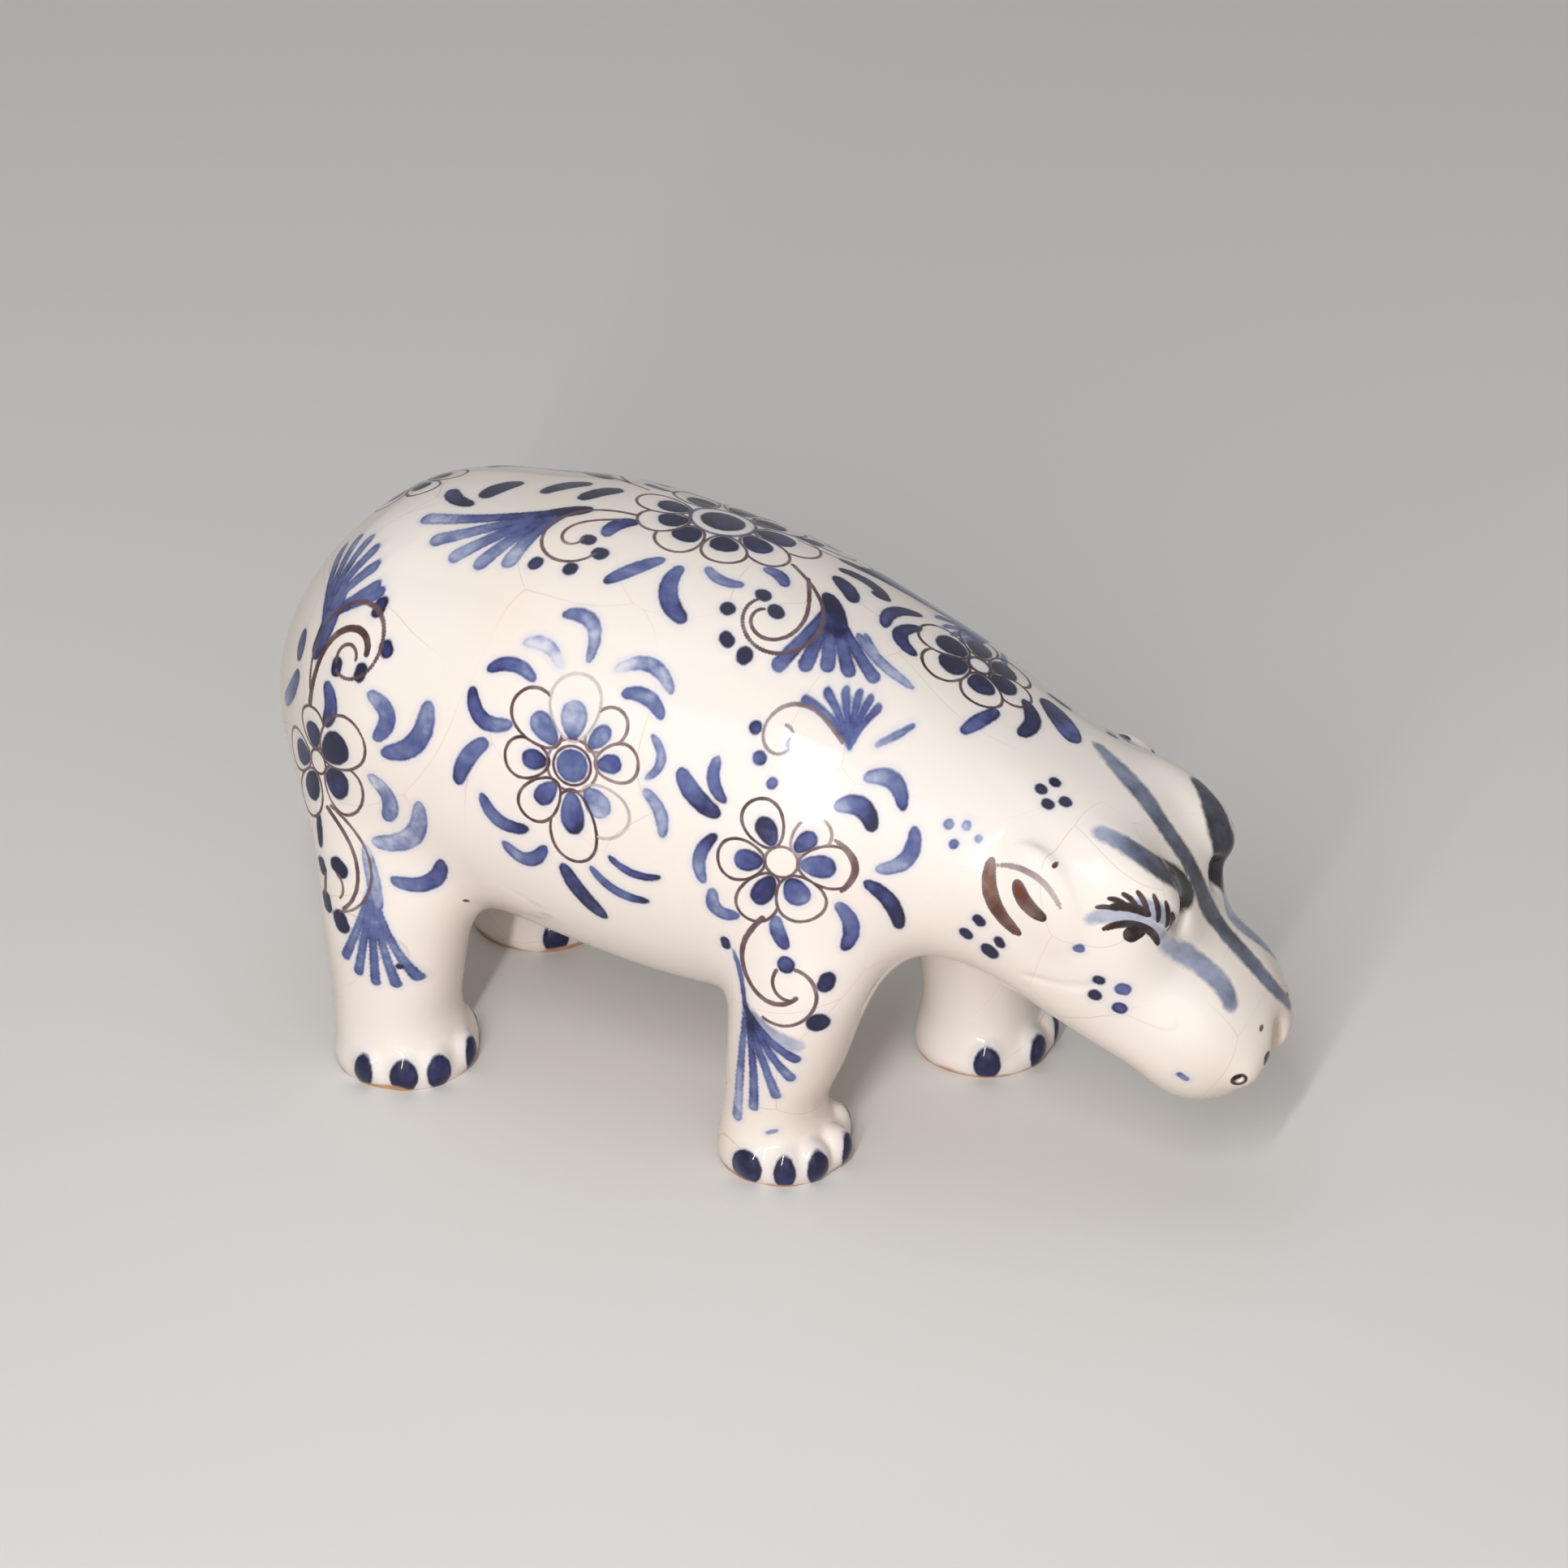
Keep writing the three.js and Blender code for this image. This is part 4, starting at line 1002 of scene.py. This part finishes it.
# Glaze over the painting. Texture scales are waves or cells a metre, the measures of strokes are millimetres;
# soft edges give the measure where a colour begins, where it is full, and its cover there.
glaze = {
    "cream": (0.90, 0.825, 0.765), "warm": (0.88, 0.77, 0.68), "craze": (0.60, 0.42, 0.34),
    "speck": (0.24, 0.13, 0.08), "bareClay": (0.46, 0.25, 0.14), "bareClayPale": (0.66, 0.44, 0.29),
    "halo": (0.60, 0.63, 0.78),
    # paint colours by tone, from the thinnest wash to the fullest load
    "blues": [(0.0, (0.70, 0.68, 0.77)), (0.3, (0.33, 0.37, 0.54)), (0.55, (0.125, 0.16, 0.335)),
              (0.75, (0.068, 0.085, 0.26)), (0.9, (0.02, 0.025, 0.125)), (1.0, (0.006, 0.007, 0.045))],
    "slates": [(0.0, (0.62, 0.64, 0.72)), (0.3, (0.33, 0.365, 0.49)), (0.55, (0.145, 0.165, 0.25)),
               (0.75, (0.058, 0.063, 0.1)), (0.9, (0.02, 0.02, 0.032)), (1.0, (0.011, 0.01, 0.014))],
    "browns": [(0.0, (0.46, 0.36, 0.34)), (0.3, (0.27, 0.18, 0.16)), (0.5, (0.19, 0.052, 0.022)),
               (0.7, (0.1, 0.032, 0.018)), (0.9, (0.032, 0.009, 0.006)), (1.0, (0.014, 0.005, 0.004))],
    "plums": [(0.0, (0.46, 0.38, 0.39)), (0.3, (0.27, 0.195, 0.21)), (0.5, (0.16, 0.092, 0.105)),
              (0.7, (0.09, 0.043, 0.052)), (0.9, (0.03, 0.011, 0.009)), (1.0, (0.014, 0.005, 0.004))],
    "cloudScale": 22.0, "cloudEdge": (0.42, 0.75, 0.75),
    "crazeCells": 46.0, "crazeWidth": 0.006, "crazeScale": 30.0, "crazeEdge": (0.38, 0.6, 0.52),
    "driftScale": 34.0, "drift": 0.022,                 # bends the crazing by up to half this many metres
    "speckCells": 165.0, "speckEdge": (0.02, 0.06), "speckRare": 0.93, "speckCover": 0.75,
    "wobble": (950.0, 0.32),                            # grain that sways the brush edges: scale, whole sway
    "streaks": ((240.0, 0.95), (750.0, 0.4)),           # broad and fine ones: scale, change of tone
    "washEdge": (-0.5, 0.45, 0.98), "washWobble": 2.0, "washStreaks": 0.5,
    "haloEdge": (-1.2, 0.1, 0.4), "strokeEdge": (-0.2, 0.2, 0.99),
    "streakLoad": 1.4,                                  # a full load, one, shows the streaks less
    "rimTone": 0.19, "poolEdge": (0.05, 0.7, 0.14),     # darker where the colour ran to the rims of a stroke
    "lineEdge": (-0.1, 0.12, 1.0), "lineWobble": 0.6, "lineStreaks": 0.4, "broadLine": (0.25, 0.6),
    "dryScale": 300.0, "dryShare": (0.72, 0.5), "lineCover": 0.45,
    "rimScale": 95.0, "rimMiddle": 0.45, "rimWave": 0.0045, "rimEdge": (0.0004, 0.0011), "clayScale": 500.0,
    "glossScale": 140.0, "glossNoise": (0.3, 0.75), "roughness": (0.045, 0.095), "bareRoughness": 0.55,
    "waveScale": 70.0, "grainScale": 1300.0, "grain": 0.02, "wave": 0.17, "waveHeight": 0.0012,
    "refraction": 1.45,
}


def nodeAdder(owner):
    # clears the nodes of a material or world and returns a function that adds one: its kind, its settings and
    # its inputs, by name or as i0, i1 and so on by number; outputs are linked, constants set on the socket
    owner.use_nodes = True
    tree = owner.node_tree
    tree.nodes.clear()

    def add(kind, settings=None, **inputs):
        node = tree.nodes.new("ShaderNode" + kind)
        for key, value in (settings or {}).items():
            setattr(node, key, value)
        for key, value in inputs.items():
            numbered = key[0] == "i" and key[1:].isdigit()
            socket = node.inputs[int(key[1:]) if numbered else key.replace("_", " ")]
            if hasattr(value, "is_output"):
                tree.links.new(value, socket)
            else:
                socket.default_value = value + (1,) if socket.type == "RGBA" else value
        return node

    return add


def makeGlaze():
    # nodes for ground, washes, strokes and lines laid over each other by their soft edges, then gloss
    material = bpy.data.materials.new("painted_glaze")
    add = nodeAdder(material)

    def math(kind, a, b=0.0, clamp=False):
        # one sum of two values, kept from 0 to 1 by clamp
        return add("Math", {"operation": kind, "use_clamp": clamp}, i0=a, i1=b).outputs[0]

    def plus(value, change, share, clamp=False):
        # a value and a share of another
        return math("ADD", value, math("MULTIPLY", change, share), clamp)

    def smooth(value, low, high, top=1.0):
        # nothing below low, top above high, a smooth step between
        settings = {"interpolation_type": "SMOOTHSTEP"}
        return add("MapRange", settings, i0=value, i1=low, i2=high, i3=0.0, i4=top).outputs[0]

    def ramp(value, stops):
        # colour by tone, straight between the stops
        node = add("ValToRGB", i0=value)
        band = node.color_ramp
        for element, (place, colour) in zip(band.elements, (stops[0], stops[-1])):
            element.position, element.color = place, colour + (1,)
        for place, colour in stops[1:-1]:
            band.elements.new(place).color = colour + (1,)
        return node.outputs[0]

    def over(under, colour, share):
        # one colour laid over another by a share
        return add("Mix", {"data_type": "RGBA"}, i0=share, i6=under, i7=colour).outputs[2]

    def attribute(name):
        # a paint measure of the mesh
        return add("Attribute", {"attribute_name": name}).outputs["Fac"]

    place = add("TexCoord").outputs["Object"]

    def noise(scale, detail=3.0):
        # noise from 0 to 1, fixed to the clay
        return add("TexNoise", Vector=place, Scale=scale, Detail=detail).outputs[0]

    # ground: cream with warmer clouds, a net of long fine crazing and a few iron specks
    ground = over(glaze["cream"], glaze["warm"], smooth(noise(glaze["cloudScale"]), *glaze["cloudEdge"]))
    drift = add("TexNoise", Vector=place, Scale=glaze["driftScale"], Detail=0.0).outputs[1]
    drift = add("VectorMath", {"operation": "SCALE"}, i0=drift, Scale=glaze["drift"]).outputs[0]
    bent = add("VectorMath", {"operation": "ADD"}, i0=place, i1=drift).outputs[0]
    cells = add("TexVoronoi", {"feature": "DISTANCE_TO_EDGE"}, Vector=bent, Scale=glaze["crazeCells"])
    crack = math("SUBTRACT", 1.0, smooth(cells.outputs["Distance"], 0.0, glaze["crazeWidth"]))
    broken = smooth(noise(glaze["crazeScale"], 1.0), *glaze["crazeEdge"])
    ground = over(ground, glaze["craze"], math("MULTIPLY", crack, broken))
    dots = add("TexVoronoi", {"feature": "F1"}, Vector=place, Scale=glaze["speckCells"])
    chance = add("SeparateColor", i0=dots.outputs["Color"]).outputs[0]
    rare = math("GREATER_THAN", chance, glaze["speckRare"])
    disc = math("SUBTRACT", 1.0, smooth(dots.outputs["Distance"], *glaze["speckEdge"]))
    speck = math("MULTIPLY", math("MULTIPLY", disc, rare), glaze["speckCover"])
    ground = over(ground, glaze["speck"], speck)

    # cobalt: soft washes, a faint bleeding round the strokes, then the strokes with their streaks
    shake, broad, fine = (math("MULTIPLY", math("SUBTRACT", noise(scale, 2.0), 0.5), change)
                          for scale, change in (glaze["wobble"], *glaze["streaks"]))
    streak = math("ADD", broad, fine)
    washEdge = plus(attribute("washEdge"), shake, glaze["washWobble"])
    washTone = plus(attribute("washTone"), streak, glaze["washStreaks"], True)
    ground = over(ground, ramp(washTone, glaze["slates"]), smooth(washEdge, *glaze["washEdge"]))
    brushEdge = math("ADD", attribute("brushEdge"), shake)
    ground = over(ground, glaze["halo"], smooth(brushEdge, *glaze["haloEdge"]))
    load = attribute("brushTone")
    tone = plus(load, streak, math("SUBTRACT", glaze["streakLoad"], load))
    pool = math("SUBTRACT", glaze["rimTone"], smooth(brushEdge, *glaze["poolEdge"]))
    tone = math("ADD", tone, pool, True)
    painted = over(ground, ramp(tone, glaze["blues"]), smooth(brushEdge, *glaze["strokeEdge"]))

    # manganese lines, thin where the brush ran dry: plum where drawn fine, rusty where laid on broad
    lineEdge = plus(attribute("lineEdge"), shake, glaze["lineWobble"])
    lineTone = plus(attribute("lineTone"), streak, glaze["lineStreaks"], True)
    least, change = glaze["dryShare"]
    dry = plus(least, noise(glaze["dryScale"], 2.0), change, True)
    dry = math("MAXIMUM", dry, lineTone)
    broadLine = smooth(lineEdge, *glaze["broadLine"])
    manganese = over(ramp(lineTone, glaze["plums"]), ramp(lineTone, glaze["browns"]), broadLine)
    cover = math("MULTIPLY", dry, math("ADD", lineTone, glaze["lineCover"], True))
    painted = over(painted, manganese, math("MULTIPLY", smooth(lineEdge, *glaze["lineEdge"]), cover))

    # the rims that stood in the kiln are wiped bare
    height = add("SeparateXYZ", i0=place).outputs[2]
    ragged = math("SUBTRACT", noise(glaze["rimScale"]), glaze["rimMiddle"])
    rim = plus(height, ragged, glaze["rimWave"])
    bare = math("SUBTRACT", 1.0, smooth(rim, *glaze["rimEdge"]))
    clay = over(glaze["bareClay"], glaze["bareClayPale"], noise(glaze["clayScale"]))
    painted = over(painted, clay, bare)

    # gloss, dull on bare clay, and the slow waviness of a thick glaze
    (low, high), (glossy, dull) = glaze["glossNoise"], glaze["roughness"]
    gloss = add("MapRange", i0=noise(glaze["glossScale"]), i1=low, i2=high, i3=glossy, i4=dull).outputs[0]
    gloss = plus(gloss, bare, glaze["bareRoughness"], True)
    wavy = plus(noise(glaze["waveScale"], 1.0), noise(glaze["grainScale"], 1.0), glaze["grain"])
    bump = add("Bump", Strength=glaze["wave"], Distance=glaze["waveHeight"], Height=wavy).outputs[0]
    shader = add("BsdfPrincipled", Base_Color=painted, Roughness=gloss, IOR=glaze["refraction"], Normal=bump)
    add("OutputMaterial", Surface=shader.outputs[0])
    return material


glazeMaterial = makeGlaze()


def addObject(name, data):
    # object of that name with its mesh, lamp or camera, put into the scene
    thing = bpy.data.objects.new(name, data)
    bpy.context.scene.collection.objects.link(thing)
    return thing


def writePiece(name, skin):
    # mesh with its paint measures; the skin keeps the clay's normals, the fans that close its rims are flat
    points, rows, tris, fan = closeSkin(*skin)
    faces = np.concatenate([tris, fan])
    place = ontoFrame(points)
    mesh = bpy.data.meshes.new(name + "_glazed")
    mesh.from_pydata(place, [], faces)
    for column, paintName in enumerate(paintNames):
        layer = mesh.attributes.new(paintName, "FLOAT", "POINT")
        layer.data.foreach_set("value", rows[:, 3 + column].astype(np.float32))
    corners = rows[:, :3][tris].reshape(-1, 3)
    a, b, c = (place[fan[:, i]] for i in range(3))
    flat = np.cross(b - a, c - a)
    flat /= np.linalg.norm(flat, axis=1, keepdims=True) + 1e-15
    mesh.polygons.foreach_set("use_smooth", np.ones(len(faces), bool))
    mesh.normals_split_custom_set(np.concatenate([corners, np.repeat(flat, 3, axis=0)]).tolist())
    mesh.materials.append(glazeMaterial)
    piece = addObject(name + "_glazed", mesh)
    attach(piece, "root")
    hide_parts(name)


for name, skin in pieces.items():
    writePiece(name, skin)
print("glazed pieces written:", len(pieces))

# stage: pale floor running into a pale surround, window-like soft lights, camera
stage = {
    "floor": (0.80, 0.785, 0.765), "floorBounce": (0.45, 0.38, 0.33),     # as seen, and as it lights the clay
    "floorHalf": 3.0, "floorRoughness": 0.6,
    "surround": (0.48, 0.475, 0.465), "skyLevel": 0.44,     # as seen, and the share that lights the clay
    "lampAim": (0, 0, 0.045),
    # direction to the lamp, distance, width and height in metres, roll in degrees, watts
    "lamps": {
        "window_strip": ((0.21, -0.83, 0.515), 0.9, 0.026, 0.8, 11, 5.6),
        "front_soft": ((0.34, -0.87, 0.36), 1.1, 1.3, 1.1, 0, 3.6),
        "top_soft": ((-0.2, 0.2, 0.96), 1.1, 1.2, 1.2, 0, 2.2),
    },
}
camera = {
    "azimuth": 25.5, "elevation": 30.0, "distance": 0.9, "target": (12, 0, 40),
    "shiftRight": 1.566, "shiftUp": 7.349,       # millimetres that the view is moved square to its direction
    "sensor": 36, "focal": 7470 / 1932,          # sensor in millimetres, focal length in picture widths
    "clip": (0.05, 20),
}


def seenDirectly(add):
    # one for rays of the camera, of reflections and of clear glass, else nothing
    rays = add("LightPath").outputs
    seen = rays["Is Camera Ray"]
    for name in ("Is Glossy Ray", "Is Transmission Ray"):
        seen = add("Math", {"operation": "MAXIMUM"}, i0=seen, i1=rays[name]).outputs[0]
    return seen


def makeStage():
    # square floor and level surround, each with one strength as seen and another as it lights the clay
    corners = stage["floorHalf"] * np.array([[-1, -1, 0], [1, -1, 0], [1, 1, 0], [-1, 1, 0]])
    mesh = bpy.data.meshes.new("floor")
    mesh.from_pydata(corners, [], [(0, 1, 2, 3)])
    floor = addObject("floor", mesh)
    material = bpy.data.materials.new("pale_floor")
    add = nodeAdder(material)
    lit, seen = stage["floorBounce"], stage["floor"]
    colour = add("Mix", {"data_type": "RGBA"}, i0=seenDirectly(add), i6=lit, i7=seen).outputs[2]
    shader = add("BsdfPrincipled", Base_Color=colour, Roughness=stage["floorRoughness"])
    add("OutputMaterial", Surface=shader.outputs[0])
    mesh.materials.append(material)
    world = bpy.data.worlds.new("surround")
    bpy.context.scene.world = world
    add = nodeAdder(world)
    level = add("MapRange", i0=seenDirectly(add), i3=stage["skyLevel"], i4=1.0).outputs[0]
    light = add("Background", Color=stage["surround"], Strength=level)
    add("OutputWorld", Surface=light.outputs[0])


def turnTowards(back):
    # columns right, up, back of a view or lamp that looks along minus back
    back = unit(np.array(back, float))
    right = unit(np.cross([0, 0, 1], back))
    return right, np.cross(back, right), back


def placeLooking(thing, axes, at):
    # the axes as columns and the place as the last column of the thing's matrix
    matrix = np.eye(4)
    matrix[:3, :3] = np.stack(axes, 1)
    matrix[:3, 3] = at
    thing.matrix_world = mathutils.Matrix(matrix.tolist())


def makeLamps():
    # each lamp looks at the aim from its distance, rolled about its own direction
    for name, (direction, distance, width, height, roll, watts) in stage["lamps"].items():
        lamp = bpy.data.lights.new(name, "AREA")
        lamp.shape, lamp.size, lamp.size_y, lamp.energy = "RECTANGLE", width, height, watts
        right, up, back = turnTowards(direction)
        c, s = np.cos(np.radians(roll)), np.sin(np.radians(roll))
        at = np.array(stage["lampAim"]) + back * distance
        placeLooking(addObject(name, lamp), (right * c - up * s, up * c + right * s, back), at)


def makeCamera():
    # looks along its azimuth and elevation at the target from its distance, moved a little aside
    view = bpy.data.cameras.new("photo_view")
    view.sensor_width = camera["sensor"]
    view.lens = camera["sensor"] * camera["focal"]
    view.clip_start, view.clip_end = camera["clip"]
    thing = addObject("photo_view", view)
    a, e = np.radians(camera["azimuth"]), np.radians(camera["elevation"])
    axes = turnTowards((np.sin(a) * np.cos(e), -np.cos(a) * np.cos(e), np.sin(e)))
    aside = (axes[0] * camera["shiftRight"] + axes[1] * camera["shiftUp"]) / 1000
    placeLooking(thing, axes, ontoFrame(camera["target"]) + axes[2] * camera["distance"] + aside)
    bpy.context.scene.camera = thing


makeStage()
makeLamps()
makeCamera()
bpy.context.scene.view_settings.view_transform = "Standard"
